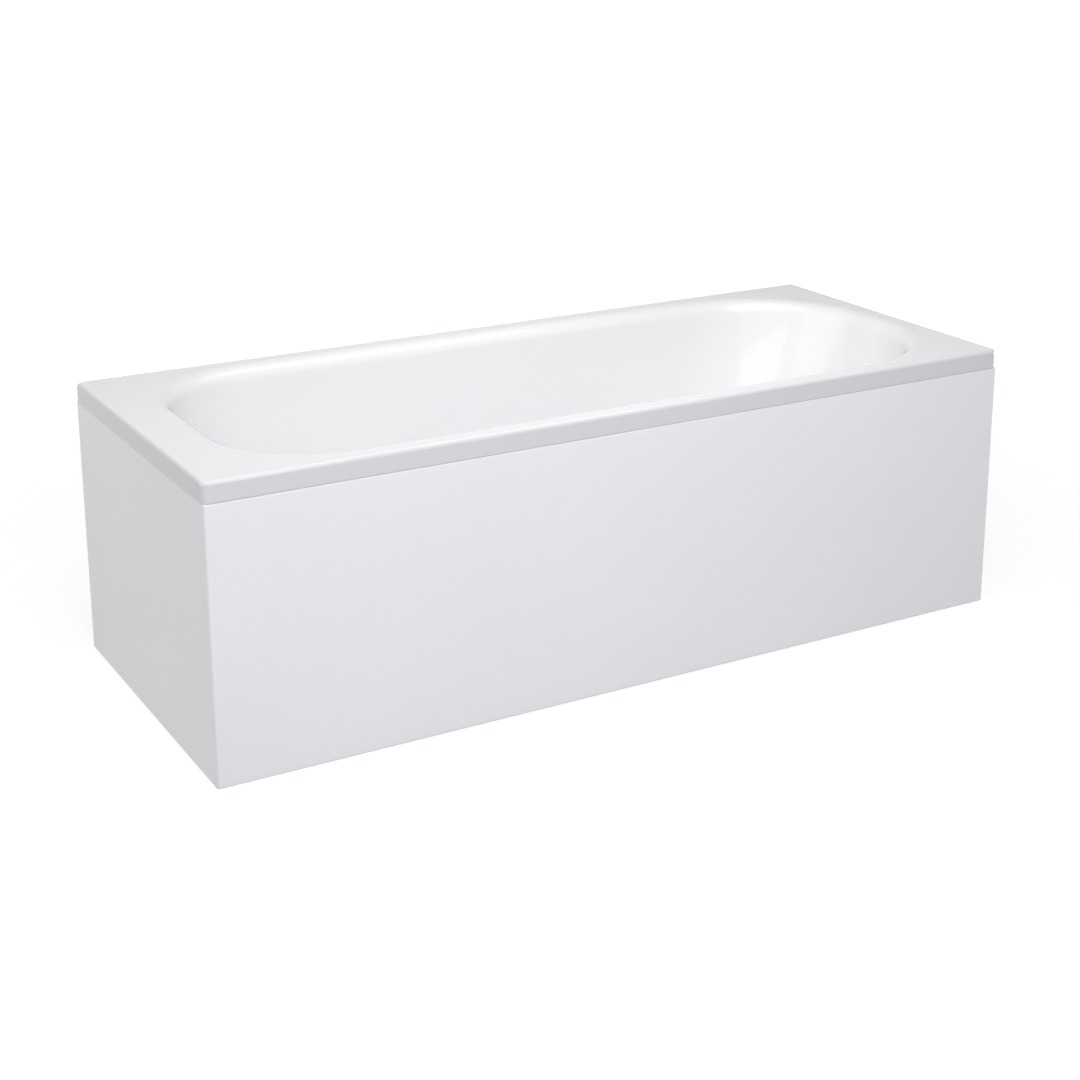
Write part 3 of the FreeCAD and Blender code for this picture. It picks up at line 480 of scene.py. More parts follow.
def dress(frame: dict, material: bpy.types.Material, *nodes: str) -> None:
    """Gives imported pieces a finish.

    Args:
        material: The finish.
        nodes: The pieces' names.
    """
    for name in nodes:
        slots = frame["nodes"][name].data.materials
        slots.clear()
        slots.append(material)
        LOG.info("%s: %s", name, material.name)


def loop_pairs(first: np.ndarray, second: np.ndarray) -> np.ndarray:
    """Joins two closed rows of vertices by four-sided faces.

    Args:
        first: Vertex numbers of one row.
        second: Vertex numbers of the other row, in the same order.

    Returns:
        One face of four vertex numbers for each place in the rows.
    """
    return np.stack([first, np.roll(first, -1), np.roll(second, -1), second], axis=-1)


def between(first: np.ndarray, second: np.ndarray, shares: tuple[float, ...]) -> np.ndarray:
    """Draws rings on the straight lines from one ring to another.

    Args:
        first: The ring at share 0.
        second: The ring at share 1.
        shares: Where the new rings lie.

    Returns:
        The new rings.
    """
    share = np.asarray(shares)[:, None, None]
    return first[None] + share * (second - first)[None]


def add_mesh(
    name: str,
    points: np.ndarray,
    faces: list[list[int]],
    crease_deg: float = 30.0,
) -> bpy.types.Object:
    """Makes a smooth-shaded object from points in millimetres.

    Args:
        name: The object's name.
        points: Vertex places, one row each.
        faces: Vertex numbers of each face.
        crease_deg: Edges that turn by more than this stay sharp.

    Returns:
        The object, at the origin.
    """
    mesh = bpy.data.meshes.new(name)
    mesh.from_pydata((points * MM).tolist(), [], faces)
    mesh.shade_smooth()
    mesh.set_sharp_from_angle(angle=math.radians(crease_deg))
    piece = bpy.data.objects.new(name, mesh)
    bpy.context.scene.collection.objects.link(piece)
    return piece


@dataclass(frozen=True)
class WallProfile:
    """Section of one side of the well, from the rim to the flat floor.

    Three arcs follow each other without a corner: the roll that turns the rim down, the long hollow wall and
    the arc into the floor. Tilts are in degrees from upright, under the roll and above the floor's arc.
    """

    tilt_top: float
    tilt_low: float
    floor_radius: float
    roll_radius: float = 30.0
    depth: float = 400.0

    def inset(self, drop: np.ndarray | float, grow: float = 0.0) -> np.ndarray:
        """Gives how far the wall has come in at a drop below the rim.

        On an arc of radius r the inset grows with the cosine of the wall's tilt, and the drop with its sine.

        Args:
            drop: Drops below the rim, on the inside or on the skin behind it.
            grow: How far behind the inside face the skin lies.

        Returns:
            The insets from the well's outline at rim level.
        """
        drop = np.asarray(drop, float)
        sin_top, sin_low = (math.sin(math.radians(a)) for a in (self.tilt_top, self.tilt_low))
        cos_top, cos_low = (math.cos(math.radians(a)) for a in (self.tilt_top, self.tilt_low))
        middle = self.depth - self.roll_radius * (1 - sin_top) - self.floor_radius * (1 - sin_low)
        roll = self.roll_radius - grow
        wall = middle / (sin_low - sin_top) + grow
        floor = self.floor_radius + grow
        roll_drop = roll * (1 - sin_top)
        wall_drop = roll_drop + wall * (sin_low - sin_top)
        on_roll = roll * np.sqrt(np.clip(1 - (1 - drop / roll) ** 2, 0, 1))
        sine = np.clip(sin_top + (drop - roll_drop) / wall, sin_top, sin_low)
        on_wall = roll * cos_top + wall * (cos_top - np.sqrt(1 - sine ** 2))
        sine = np.clip(1 - (self.depth - drop) / floor, sin_low, 1)
        on_floor = roll * cos_top + wall * (cos_top - cos_low) + floor * (cos_low - np.sqrt(1 - sine ** 2))
        return np.select([drop <= roll_drop, drop <= wall_drop], [on_roll, on_wall], on_floor)


@dataclass(frozen=True)
class PlanSteps:
    """How many faces run along each stretch of a plan outline: a corner arc, a long side and the two ends."""

    arc: int = 36
    side: int = 40
    head: int = 8
    foot: int = 24

    def foot_start(self) -> int:
        """Counts the faces before the foot end's straight stretch."""
        return 3 * self.arc + self.head + self.side


def outline_rings(
    steps: PlanSteps,
    x_range: tuple[np.ndarray, np.ndarray],
    half: np.ndarray,
    radii: tuple[np.ndarray, np.ndarray],
    height: np.ndarray,
) -> np.ndarray:
    """Stacks rounded plan outlines: four quarter circles joined by four straight stretches.

    Args:
        steps: Faces along each stretch.
        x_range: Each outline's foot end and head end.
        half: Each outline's half width.
        radii: Each outline's corner radius at the foot and at the head.
        height: Each outline's level.

    Returns:
        An array of outlines by points by three, anticlockwise from above, from the front corner at the head.
    """
    foot_x, head_x, half, foot_r, head_r, height = (
        np.asarray(a, float)[:, None] for a in np.broadcast_arrays(*x_range, half, *radii, height))
    turn = np.linspace(0, math.pi / 2, steps.arc + 1)[None, :]
    corners = (
        (head_x - head_r, head_r - half, head_r, -0.5, steps.head),
        (head_x - head_r, half - head_r, head_r, 0.0, steps.side),
        (foot_x + foot_r, half - foot_r, foot_r, 0.5, steps.foot),
        (foot_x + foot_r, foot_r - half, foot_r, 1.0, steps.side),
    )
    arcs = [(x + r * np.cos(turn + start * math.pi), y + r * np.sin(turn + start * math.pi))
            for x, y, r, start, _ in corners]
    runs = []
    for i, (_, _, _, _, count) in enumerate(corners):
        share = np.linspace(0, 1, count, endpoint=False)[None, :]
        ends = [(arc[:, -1:], after[:, :1]) for arc, after in zip(arcs[i], arcs[(i + 1) % 4])]
        runs.append(np.stack([axis[:, :-1] for axis in arcs[i]], axis=-1))
        runs.append(np.stack([end + share * (start - end) for end, start in ends], axis=-1))
    plan = np.concatenate(runs, axis=1)
    level = np.broadcast_to(height[:, :, None], plan.shape[:2] + (1,))
    return np.concatenate([plan, level], axis=-1)


@dataclass
class ShellGrid:
    """The shell as rows of rings: how much painted shade each row gets on its acrylic, and where its
    stretches start.
    """

    rings: np.ndarray
    drawn: np.ndarray
    top_rows: int
    well_row: int
    under_row: int


@dataclass
class BathShell:
    """The one-piece shell: flat rim with a turned-down skirt, well, waste seat and overflow hole."""

    half_length: float = 850.0
    half_width: float = 350.0
    rim_height: float = 550.0
    laminate: float = 6.0
    skirt_depth: float = 38.0
    skirt_wall: float = 5.0
    rim_edge_radius: float = 7.0
    rim_corner_radius: float = 14.0
    skirt_lip_radius: float = 1.0
    foot_rim: float = 82.0
    head_rim: float = 30.0
    side_rim: float = 30.0
    rim_corner_radii: tuple[float, float] = (220.0, 280.0)  # of the well at rim level, foot and head
    floor_corner_radii: tuple[float, float] = (100.0, 120.0)
    side: WallProfile = WallProfile(4.0, 14.0, 80.0)
    foot: WallProfile = WallProfile(6.0, 18.0, 90.0)
    head: WallProfile = WallProfile(12.0, 36.0, 120.0)
    waste_from_floor_edge: float = 107.0
    seat_radius: float = 37.0
    seat_slope: float = 8.0
    seat_depth: float = 4.0
    boss_radius: float = 50.0
    waste_hole_radius: float = 26.0
    overflow_drop: float = 90.0
    overflow_hole_radius: float = 26.0
    steps: PlanSteps = PlanSteps()
    roll_steps: int = 18
    wall_steps: int = 26
    floor_steps: int = 18
    lip_steps: int = 5
    edge_steps: int = 10
    inner_steps: int = 4
    patch_steps: int = 4
    face_steps: int = 3
    face_gap: float = 1.0  # from the ends of the skirt's flat face to its first and last ring
    inner_skirt_stop: float = 12.0  # from the skirt's foot to the last ring behind it
    rim_shares: tuple[float, ...] = (0.05, 0.5, 0.95)  # where rings lie across the rim
    floor_shares: tuple[float, ...] = (0.02, 0.3, 0.6, 0.95)  # and from the floor's edge to the waste
    boss_shares: tuple[float, ...] = (0.05, 0.4, 0.7, 0.98)  # and from the boss to the edge underneath
    hole_block_columns: tuple[int, int] = (6, 18)  # the foot-end faces that the overflow hole is cut in
    hole_block_reach: float = 46.0  # how far up and down from the hole's middle those faces go
    slope_step: float = 1.0  # how far above and below the hole's middle the wall's slope is taken
    crease_deg: float = 32.0
    # The acrylic's grey is painted shade on the skirt's outer face, set by the mesh's "drawn" value.
    top_finish: CastAcrylic = CastAcrylic("cast_acrylic_shell", thin="#D3D4D7")
    back_finish: GlassFibreBacking = GlassFibreBacking("glass_fibre_backing")

    def drops(self, grow: float) -> np.ndarray:
        """Lists the drops of the well's rings, at equal angles on the roll and on the floor's arc.

        Args:
            grow: How far behind the inside face the skin lies.

        Returns:
            Drops from the rim to the floor.
        """
        roll_turn = np.linspace(0, math.radians(90 - self.side.tilt_top), self.roll_steps)
        floor_turn = np.linspace(0, math.radians(90 - self.side.tilt_low), self.floor_steps)
        down = (self.side.roll_radius - grow) * (1 - np.cos(roll_turn))
        up = self.side.depth - (self.side.floor_radius + grow) * (1 - np.cos(floor_turn))
        wall = np.linspace(down[-1], up[-1], self.wall_steps + 2)[1:-1]
        return np.concatenate([down, wall, up[::-1]])

    def foot_wall_x(self, drop: np.ndarray, grow: float) -> np.ndarray:
        """Gives the foot-end wall's place along the bath at a drop.

        Args:
            drop: Drops below the rim.
            grow: How far behind the inside face the skin lies.

        Returns:
            Places along the bath.
        """
        return self.foot_rim - self.half_length + self.foot.inset(drop, grow)

    def well_rings(self, grow: float) -> np.ndarray:
        """Draws the well as stacked outlines, whose corners tighten as the side walls come in.

        Args:
            grow: How far behind the inside face the skin lies.

        Returns:
            Rings from the rim down to the floor.
        """
        drop = self.drops(grow)
        side = self.side.inset(drop, grow)
        share = side / self.side.inset(self.side.depth)
        radii = zip(self.rim_corner_radii, self.floor_corner_radii)
        foot_r, head_r = (top + (low - top) * share for top, low in radii)
        foot_x = self.foot_wall_x(drop, grow)
        head_x = self.half_length - self.head_rim - self.head.inset(drop, grow)
        half = self.half_width - self.side_rim - side
        height = self.rim_height - grow - drop
        return outline_rings(self.steps, (foot_x, head_x), half, (foot_r, head_r), height)

    def skirt_rings(self, offsets: np.ndarray, heights: np.ndarray) -> np.ndarray:
        """Draws rings round the bath at distances in from its outer face.

        Args:
            offsets: Each ring's distance in from the outer face.
            heights: Each ring's level.

        Returns:
            The rings.
        """
        length, half = self.half_length - offsets, self.half_width - offsets
        radius = self.rim_corner_radius - offsets
        return outline_rings(self.steps, (-length, length), half, (radius, radius), heights)

    def waste_x(self) -> float:
        """Gives the waste's place along the bath."""
        return float(self.foot_wall_x(self.foot.depth, 0.0)) + self.waste_from_floor_edge

    def waste_rings(self, around: np.ndarray, radii: list[float], heights: list[float]) -> np.ndarray:
        """Draws circles round the waste, each point in line with a point of the floor's outline.

        Args:
            around: The floor's outline.
            radii: Each circle's radius.
            heights: Each circle's level.

        Returns:
            The rings.
        """
        angle = np.arctan2(around[:, 1], around[:, 0] - self.waste_x())[None, :]
        radius = np.asarray(radii)[:, None]
        level = np.broadcast_to(np.asarray(heights)[:, None], (len(radii), len(around)))
        return np.stack([self.waste_x() + radius * np.cos(angle), radius * np.sin(angle), level], axis=-1)

    def grid(self) -> ShellGrid:
        """Draws the whole shell as one closed row of rings.

        They go up the skirt, over the rim, down the well to the waste hole, and back along the underside to
        the skirt's foot.

        Returns:
            The rings, the acrylic side first.
        """
        foot = self.rim_height - self.skirt_depth
        edge, lip = self.rim_edge_radius, self.skirt_lip_radius
        lip_turn = np.linspace(0, math.pi / 2, self.lip_steps)
        edge_turn = np.linspace(0, math.pi / 2, self.edge_steps)
        face_ends = foot + lip + self.face_gap, self.rim_height - edge - self.face_gap
        offsets = np.concatenate([[self.skirt_wall], lip - lip * np.sin(lip_turn), np.zeros(self.face_steps),
                                  edge - edge * np.cos(edge_turn)])
        heights = np.concatenate([[foot], foot + lip - lip * np.cos(lip_turn),
                                  np.linspace(*face_ends, self.face_steps),
                                  self.rim_height - edge + edge * np.sin(edge_turn)])
        skirt = self.skirt_rings(offsets, heights)
        well = self.well_rings(0.0)
        seat = self.seat_radius + self.seat_slope
        floor, seat_top = well[-1, 0, 2], well[-1, 0, 2] - self.seat_depth
        dish = self.waste_rings(well[-1], [seat, self.seat_radius, self.waste_hole_radius],
                                [floor, seat_top, seat_top])
        top = [skirt, between(skirt[-1], well[0], self.rim_shares), well,
               between(well[-1], dish[0], self.floor_shares), dish]
        under = self.well_rings(self.laminate)
        seat_under = seat_top - self.laminate
        boss = self.waste_rings(under[-1], [self.waste_hole_radius, self.boss_radius, self.boss_radius],
                                [seat_under, seat_under, floor - self.laminate])
        inner = edge - self.skirt_wall
        inner_turn = np.linspace(0, math.pi / 2, self.inner_steps)
        inner_heights = self.rim_height - self.laminate - inner + inner * np.cos(inner_turn)
        inside = self.skirt_rings(np.append(edge - inner * np.sin(inner_turn), self.skirt_wall),
                                  np.append(inner_heights, foot + self.inner_skirt_stop))
        back = [boss, between(boss[-1], under[-1], self.boss_shares), under[::-1],
                between(under[0], inside[0], self.rim_shares), inside]
        rings = np.concatenate(top + back)
        top_rows = sum(len(part) for part in top)
        # painted shade: 1 on the skirt's outer face and lip, falling to 0 over the rim's top edge; 0
        # everywhere else
        drawn = np.zeros(len(rings))
        drawn[:len(skirt)] = np.clip(1 - offsets / edge, 0, 1)
        well_row = len(skirt) + len(self.rim_shares)
        return ShellGrid(rings, drawn, top_rows, well_row, top_rows + len(boss) + len(self.boss_shares))

    def overflow_hole(self, edge: np.ndarray, grow: float) -> np.ndarray:
        """Places the overflow hole's edge: a circle across the wall's slope, which looks oval along the bath.

        Args:
            edge: Points round the hole that its own points lie in line with.
            grow: How far behind the inside face the skin lies.

        Returns:
            The hole's points as width and height.
        """
        near = self.foot_wall_x(self.overflow_drop + self.slope_step * np.array([-1, 1]), 0.0)
        tilt = math.atan2(near[1] - near[0], 2 * self.slope_step)
        middle = self.rim_height - self.overflow_drop
        angle = np.arctan2((edge[:, 2] - middle) / math.cos(tilt), edge[:, 1])
        rise = self.overflow_hole_radius * math.cos(tilt) * np.sin(angle) - grow * math.sin(tilt)
        return np.stack([self.overflow_hole_radius * np.cos(angle), middle + rise], axis=-1)

    def overflow_patch(self, edge: np.ndarray, hole: np.ndarray, grow: float) -> np.ndarray:
        """Fills the wall between a square edge and the round hole.

        Each ring lies a share of the way from the edge to the hole in width and height, and takes its place
        along the bath from the wall's section at that height.

        Args:
            edge: The square edge's points, in order round it.
            hole: The hole's points as width and height, in the same order.
            grow: How far behind the inside face the skin lies.

        Returns:
            Rings of points from inside the edge to the hole.
        """
        share = np.linspace(0, 1, self.patch_steps + 1)[1:, None, None]
        flat = edge[None, :, 1:] + share * (hole - edge[:, 1:])[None]
        x = self.foot_wall_x(self.rim_height - grow - flat[..., 1], grow)
        return np.concatenate([x[..., None], flat], axis=-1)

    def skin(self, grid: ShellGrid) -> tuple[np.ndarray, np.ndarray, np.ndarray]:
        """Joins the rings to faces, less a block on each side that is filled in round the overflow hole.

        Args:
            grid: The shell's rings.

        Returns:
            The points, the faces, and 1 for each face that the backing covers.
        """
        rows, columns = grid.rings.shape[:2]
        numbers = np.arange(rows * columns).reshape(rows, columns)
        squares = np.stack([loop_pairs(a, b) for a, b in zip(numbers, np.roll(numbers, -1, axis=0))])
        finish = np.broadcast_to((np.arange(rows) >= grid.top_rows)[:, None], (rows, columns))
        kept = np.ones((rows, columns), bool)
        drop = self.drops(0.0)
        block = np.flatnonzero(np.abs(drop - self.overflow_drop) < self.hole_block_reach)
        first, last = (self.steps.foot_start() + column for column in self.hole_block_columns)
        edges = []
        for lines in (grid.well_row + block, grid.under_row + len(drop) - 1 - block):
            kept[lines.min():lines.max(), first:last] = False
            edges.append(np.concatenate([numbers[lines[0], first:last], numbers[lines[:-1], last],
                                         numbers[lines[-1], last:first:-1], numbers[lines[:0:-1], first]]))
        flat = grid.rings.reshape(-1, 3)
        patches = [self.overflow_patch(flat[edge], self.overflow_hole(flat[edges[0]], grow), grow)
                   for edge, grow in zip(edges, (0.0, self.laminate))]
        new = np.arange(patches[0].size // 3 * 2).reshape(2, *patches[0].shape[:2]) + flat.shape[0]
        loops = [edges[0], *new[0], *new[1][::-1], edges[1]]
        strips = np.stack([loop_pairs(a, b) for a, b in zip(loops, loops[1:])])
        strip_finish = np.broadcast_to((np.arange(len(strips)) > len(new[0]))[:, None], strips.shape[:2])
        faces = np.concatenate([squares[kept], strips.reshape(-1, 4)])
        points = np.concatenate([flat, *(patch.reshape(-1, 3) for patch in patches)])
        backed = np.concatenate([finish[kept], strip_finish.reshape(-1)]).astype(np.int32)
        return points, faces, backed

    def build(self) -> bpy.types.Object:
        """Makes the shell, with the acrylic finish on top and the backing underneath.

        Returns:
            The shell.
        """
        grid = self.grid()
        points, faces, backed = self.skin(grid)
        shell = add_mesh("acrylic_shell", points, faces.tolist(), self.crease_deg)
        shell.data.materials.append(self.top_finish.build())
        shell.data.materials.append(self.back_finish.build())
        shell.data.polygons.foreach_set("material_index", backed)
        # Each point carries its row's painted shade as the "drawn" value for the acrylic finish.
        drawn = np.zeros(len(points), np.float32)
        drawn[:grid.rings.size // 3] = np.repeat(grid.drawn, grid.rings.shape[1])
        shell.data.attributes.new("drawn", "FLOAT", "POINT").data.foreach_set("value", drawn)
        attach(shell, "bath")
        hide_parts("bath_shell")
        LOG.info("acrylic_shell: %d faces", len(faces))
        return shell


@dataclass
class PackedPieces:
    """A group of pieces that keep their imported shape, listed by finish."""

    finishes: PiecesByFinish

    def dress(self, frame: dict) -> None:
        """Gives the pieces their finishes.
        """
        for finish, nodes in self.finishes:
            dress(frame, finish.build(), *nodes)


@dataclass
class Panels(PackedPieces):
    """The front and the end panel, and what holds them."""

    finishes: PiecesByFinish = (
        (CastAcrylic("acrylic_panel_sheet", "#ECEDF0", "#E7E8EB", gloss=(0.12, 0.18), ripple_mm=260.0,
                     ripple_height_mm=0.2), ("front_panel", "end_panel")),
        (GalvanisedSheet("galvanised_clip_sheet"), ("panel_clips", "wall_brackets")),
        (MouldedPolymer("white_pvc_angle", "#E9EAEA", "#E2E4E4", 0.42), ("panel_angle",)),
        (MouldedPolymer("black_polypropylene_block", "#2B2D2F", "#242627", 0.5), ("floor_blocks",)),
        (ZincPlate("zinc_plated_screw"), ("clip_screws", "bracket_screws", "rail_screws")),
    )


@dataclass
class Underframe(PackedPieces):
    """The board under the floor, the battens under the rim and the rails."""

    finishes: PiecesByFinish = (
        (Chipboard("chipboard"), ("base_board",)),
        (Softwood("spruce_along", Grain.ALONG_BATH), ("rim_batten_front", "rim_batten_back")),
        (Softwood("spruce_across", Grain.ACROSS_BATH), ("rim_batten_foot", "rim_batten_head")),
        (GalvanisedSheet("galvanised_rail_sheet"), ("leg_rail_foot", "leg_rail_head")),
    )


@dataclass
class Legs:
    """Four levelling legs: a threaded stud in a moulded pad, with its nuts."""

    ends: tuple[str, str] = ("foot", "head")
    sides: tuple[str, str] = ("front", "back")
    thread_pitch: float = 1.75
    thread_depth: float = 1.05
    thread_slope: float = 1.3  # over a plain triangle wave's, so that the crest and the root are flat
    thread_root: float = 0.15  # how far that wave is lowered, as a share of the depth
    chamfer: float = 1.0
    around: int = 24
    rows_a_turn: int = 6
    crease_deg: float = 40.0
    stud_finish: ZincPlate = ZincPlate("zinc_plated_stud", gloss=(0.25, 0.42))
    pad_finish: MouldedPolymer = MouldedPolymer("black_nylon_pad", "#2A2C2E", "#222425", 0.46)
    nut_finish: ZincPlate = ZincPlate("zinc_plated_nut")

    def thread(self, low: np.ndarray, high: np.ndarray) -> tuple[np.ndarray, list[list[int]]]:
        """Draws a threaded stud.

        The radius at an angle and height is the root's radius plus the thread's depth times a clipped
        triangle wave of the height in pitches less the angle in turns, cut back to a cone at both ends.

        Args:
            low: The stud's lowest corner.
            high: The stud's highest corner.

        Returns:
            Its points and its faces.
        """
        middle = (low + high) / 2
        crest = (high[0] - low[0]) / 2
        height = high[2] - low[2]
        count = int(round(height / self.thread_pitch * self.rows_a_turn))
        up = np.linspace(0, height, count + 1)[:, None]
        turn = np.linspace(0, 1, self.around, endpoint=False)[None, :]
        wave = np.abs(2 * np.mod(up / self.thread_pitch - turn, 1) - 1)
        ridge = np.clip(self.thread_slope * wave - self.thread_root, 0, 1)
        cone = crest - self.chamfer + np.minimum(up, height - up)
        radius = np.minimum(crest - self.thread_depth * (1 - ridge), cone)
        angle = 2 * math.pi * turn
        grid = np.stack([middle[0] + radius * np.cos(angle), middle[1] + radius * np.sin(angle),
                         np.broadcast_to(low[2] + up, radius.shape)], axis=-1)
        numbers = np.arange(grid.size // 3).reshape(grid.shape[:2])
        faces = np.concatenate([loop_pairs(a, b) for a, b in zip(numbers, numbers[1:])]).tolist()
        faces += [numbers[0, ::-1].tolist(), numbers[-1].tolist()]
        return grid.reshape(-1, 3), faces

    def build(self, frame: dict) -> None:
        """Draws the threads and gives the pads and nuts their finishes.
        """
        zinc = self.stud_finish.build()
        pad = self.pad_finish.build()
        for end in self.ends:
            for side in self.sides:
                leg = end + "_" + side
                low, high = (np.array(corner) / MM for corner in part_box("leg_stud_" + leg))
                stud = add_mesh("threaded_stud_" + leg, *self.thread(low, high), self.crease_deg)
                stud.data.materials.append(zinc)
                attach(stud, "leg_" + leg)
                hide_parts("leg_stud_" + leg)
                LOG.info("%s: threaded stud", stud.name)
                dress(frame, pad, "leg_pad_" + leg)
        dress(frame, self.nut_finish.build(), "weld_nuts", "lock_nuts")


@dataclass
class WasteAndOverflow(PackedPieces):
    """The pop-up waste, the overflow with its turning knob, and the pipes between them and the drain."""

    finishes: PiecesByFinish = (
        (ChromePlate("polished_chrome"), ("waste_flange", "waste_plug", "overflow_plate", "overflow_knob")),
        (MouldedPolymer("black_epdm_rubber", "#1F2021", "#27282A", 0.62, 0.7),
         ("waste_upper_seal", "waste_lower_seal", "overflow_seal", "plug_seal")),
        (MouldedPolymer("white_polypropylene", "#E4E5E4", "#DCDEDD", 0.4),
         ("waste_body", "overflow_body", "overflow_pipe", "trap")),
        (MouldedPolymer("grey_polypropylene_nut", "#4A4D50", "#424548", 0.48), ("pipe_nuts", "trap_nut")),
        (MouldedPolymer("black_pvc_sheath", "#242628", "#2C2E30", 0.5, 1.4), ("control_cable",)),
        (MouldedPolymer("acetal_lever", "#E8E6DF", "#DFDCD3", 0.35), ("lift_lever", "knob_spindle")),
        (ZincPlate("stainless_pin"), ("lever_pin",)),
    )


@dataclass
class Softbox:
    """One studio lamp: its place and aim in metres, its width and depth in metres and its power in watts."""

    name: str
    place: tuple[float, float, float]
    aim: tuple[float, float, float]
    width: float
    depth: float
    power: float

    def build(self) -> None:
        """Hangs the lamp."""
        lamp = bpy.data.lights.new(self.name, "AREA")
        lamp.shape = "RECTANGLE"
        lamp.size = self.width
        lamp.size_y = self.depth
        lamp.energy = self.power
        holder = bpy.data.objects.new(self.name, lamp)
        holder.location = self.place
        holder.rotation_euler = (Vector(self.aim) - Vector(self.place)).to_track_quat("-Z", "Y").to_euler()
        bpy.context.scene.collection.objects.link(holder)


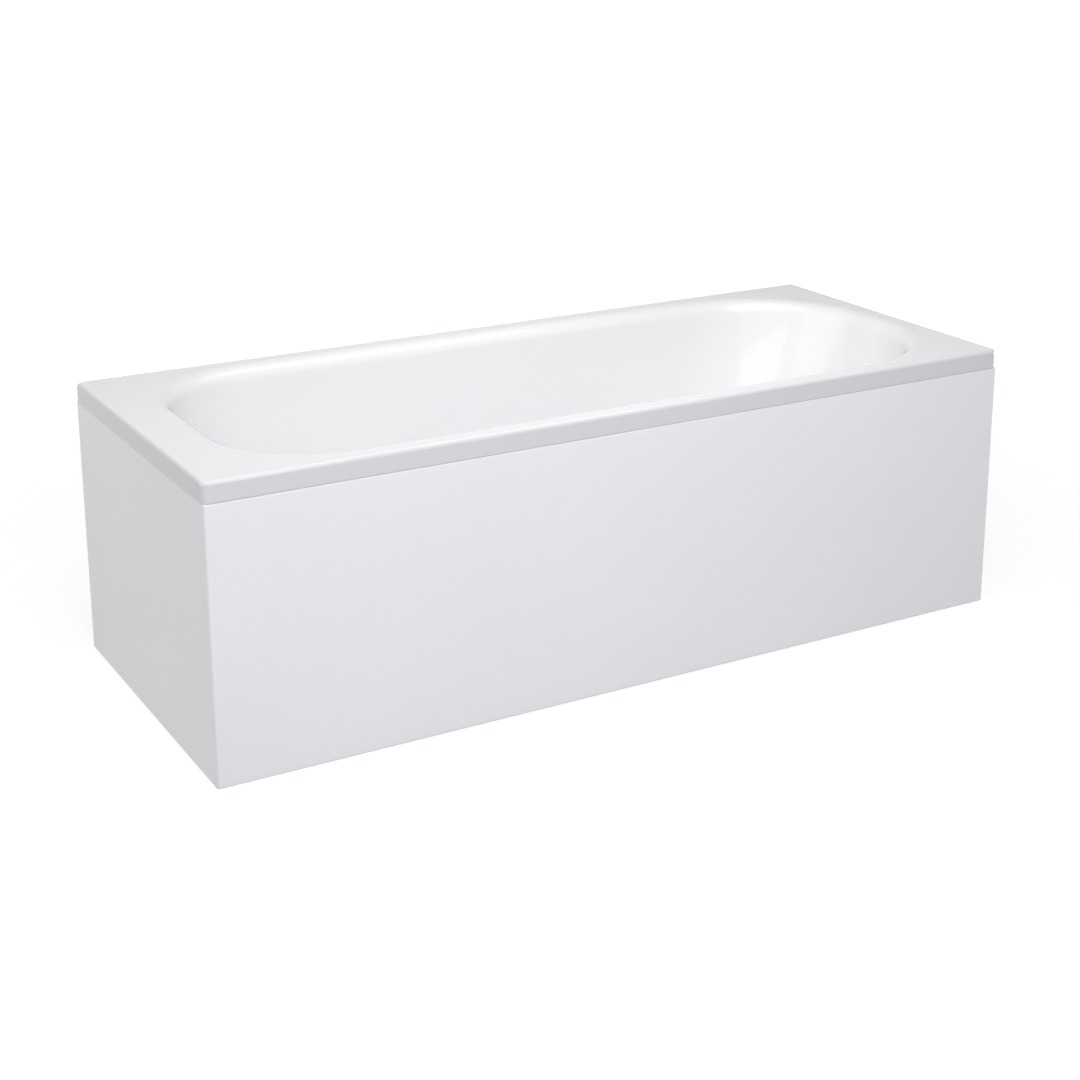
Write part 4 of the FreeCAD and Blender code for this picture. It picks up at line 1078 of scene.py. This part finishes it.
@dataclass
class Studio:
    """The camera, the lamps, the white surroundings and the floor."""

    camera_mm: tuple[float, float, float] = (-1835.0, -3210.0, 1556.0)
    azimuth_deg: float = -29.96
    elevation_deg: float = 15.66
    focal_px: float = 1938.0
    centre_px: tuple[float, float] = (557.0, 380.0)
    picture_px: float = 1080.0
    sensor_mm: float = 36.0
    camera_reach: float = 200.0  # in metres
    floor_side: float = 80.0  # in metres, as floor_near and floor_far are
    floor_white: str = "#98999A"
    floor_glow: tuple[float, float] = (0.8, 1.0)  # near the bath and far from it
    floor_near: float = 1.3
    floor_far: float = 4.0
    sky_white: str = "#FFFFFF"
    sky_light: float = 0.14
    lamps: tuple[Softbox, ...] = (
        Softbox("key_softbox", (-0.6, -2.6, 2.8), (0.0, 0.2, 0.4), 2.8, 2.6, 56.0),
        Softbox("left_key_softbox", (-1.8, -2.2, 2.5), (0.0, 0.1, 0.4), 3.0, 3.0, 34.0),
        Softbox("overhead_softbox", (0.05, -0.1, 1.5), (0.05, -0.1, 0.0), 1.2, 0.6, 4.4),
        Softbox("left_softbox", (-3.2, 1.0, 2.0), (0.6, 0.0, 0.4), 3.4, 2.8, 27.0),
        Softbox("low_front_softbox", (0.2, -2.8, 0.3), (0.2, -0.35, 0.3), 3.4, 0.4, 18.0),
        Softbox("low_end_softbox", (-3.2, 0.2, 0.27), (-0.85, 0.0, 0.27), 1.4, 0.46, 8.0),
        Softbox("strip_softbox", (-0.2, -3.0, 0.98), (0.61, 0.26, 0.41), 0.05, 0.7, 3.0),
        Softbox("low_back_softbox", (0.2, 3.0, 0.27), (0.2, 0.35, 0.27), 2.6, 0.46, 30.0),
        Softbox("low_head_softbox", (3.0, 0.0, 0.27), (0.85, 0.0, 0.27), 1.2, 0.46, 20.0),
    )

    def aim_camera(self) -> None:
        """Sets the camera at the viewing angle, with its lens shifted so that uprights lean less."""
        lens = bpy.data.cameras.new("studio_camera")
        lens.sensor_width = self.sensor_mm
        lens.lens = self.focal_px / self.picture_px * self.sensor_mm
        lens.shift_x = 0.5 - self.centre_px[0] / self.picture_px
        lens.shift_y = self.centre_px[1] / self.picture_px - 0.5
        lens.clip_end = self.camera_reach
        camera = bpy.data.objects.new("studio_camera", lens)
        turn, lift = math.radians(self.azimuth_deg), math.radians(self.elevation_deg)
        back = Vector((math.sin(turn) * math.cos(lift), -math.cos(turn) * math.cos(lift), math.sin(lift)))
        camera.location = Vector(self.camera_mm) * MM
        camera.rotation_euler = (-back).to_track_quat("-Z", "Y").to_euler()
        bpy.context.scene.collection.objects.link(camera)
        bpy.context.scene.camera = camera

    def seen_rays(self, tree: bpy.types.NodeTree) -> bpy.types.NodeSocket:
        """Tells the rays that see the surroundings from those that only carry light.

        Args:
            tree: The node tree that asks.

        Returns:
            A socket that is 1 for camera, mirror and see-through rays.
        """
        rays = add_node(tree, "ShaderNodeLightPath")
        seen = add_node(tree, "ShaderNodeMath", {"operation": "MAXIMUM"},
                        {0: rays.outputs["Is Camera Ray"], 1: rays.outputs["Is Glossy Ray"]})
        return add_node(tree, "ShaderNodeMath", {"operation": "MAXIMUM"},
                        {0: seen.outputs[0], 1: rays.outputs["Is Transmission Ray"]}).outputs[0]

    def light_sky(self) -> None:
        """Makes the surroundings white to the eye, and lights the bath with a plain part of that."""
        world = bpy.data.worlds.new("white_surroundings")
        world.use_nodes = True
        tree = world.node_tree
        tree.nodes.clear()
        strength = add_node(tree, "ShaderNodeMapRange", {"To Min": self.sky_light, "To Max": 1.0},
                            {"Value": self.seen_rays(tree)})
        sky = add_node(tree, "ShaderNodeBackground", {"Color": linear(self.sky_white)},
                       {"Strength": strength.outputs[0]})
        add_node(tree, "ShaderNodeOutputWorld", links={"Surface": sky.outputs[0]})
        bpy.context.scene.world = world

    def lay_floor(self) -> None:
        """Lays a pale floor that keeps the bath's shadow and brightens to the white surroundings."""
        half = self.floor_side / 2 / MM
        corners = np.array([[-half, -half, 0], [half, -half, 0], [half, half, 0], [-half, half, 0]])
        floor = add_mesh("studio_floor", corners, [[0, 1, 2, 3]])
        material, tree, places = start_material("pale_studio_floor")
        paint = add_node(tree, "ShaderNodeBsdfDiffuse", {"Color": linear(self.floor_white)})
        away = add_node(tree, "ShaderNodeVectorMath", {"operation": "LENGTH"}, {0: places})
        reach = {"From Min": self.floor_near, "From Max": self.floor_far,
                 "To Min": self.floor_glow[0], "To Max": self.floor_glow[1]}
        bright = add_node(tree, "ShaderNodeMapRange", {"interpolation_type": "SMOOTHSTEP", **reach},
                          {"Value": away.outputs["Value"]})
        glow = add_node(tree, "ShaderNodeMath", {"operation": "MULTIPLY"},
                        {0: bright.outputs[0], 1: self.seen_rays(tree)})
        light = add_node(tree, "ShaderNodeEmission", links={"Strength": glow.outputs[0]})
        both = add_node(tree, "ShaderNodeAddShader", links={0: paint.outputs[0], 1: light.outputs[0]})
        add_node(tree, "ShaderNodeOutputMaterial", links={"Surface": both.outputs[0]})
        floor.data.materials.append(material)

    def build(self) -> None:
        """Sets up the whole studio."""
        bpy.context.scene.view_settings.view_transform = "Standard"
        self.aim_camera()
        self.light_sky()
        self.lay_floor()
        for lamp in self.lamps:
            lamp.build()


def main() -> None:
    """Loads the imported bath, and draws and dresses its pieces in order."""
    logging.basicConfig(level=logging.INFO, format="%(name)s %(message)s")
    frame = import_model()
    BathShell().build()
    Panels().dress(frame)
    Underframe().dress(frame)
    Legs().build(frame)
    WasteAndOverflow().dress(frame)
    Studio().build()


if __name__ == "__main__":
    main()
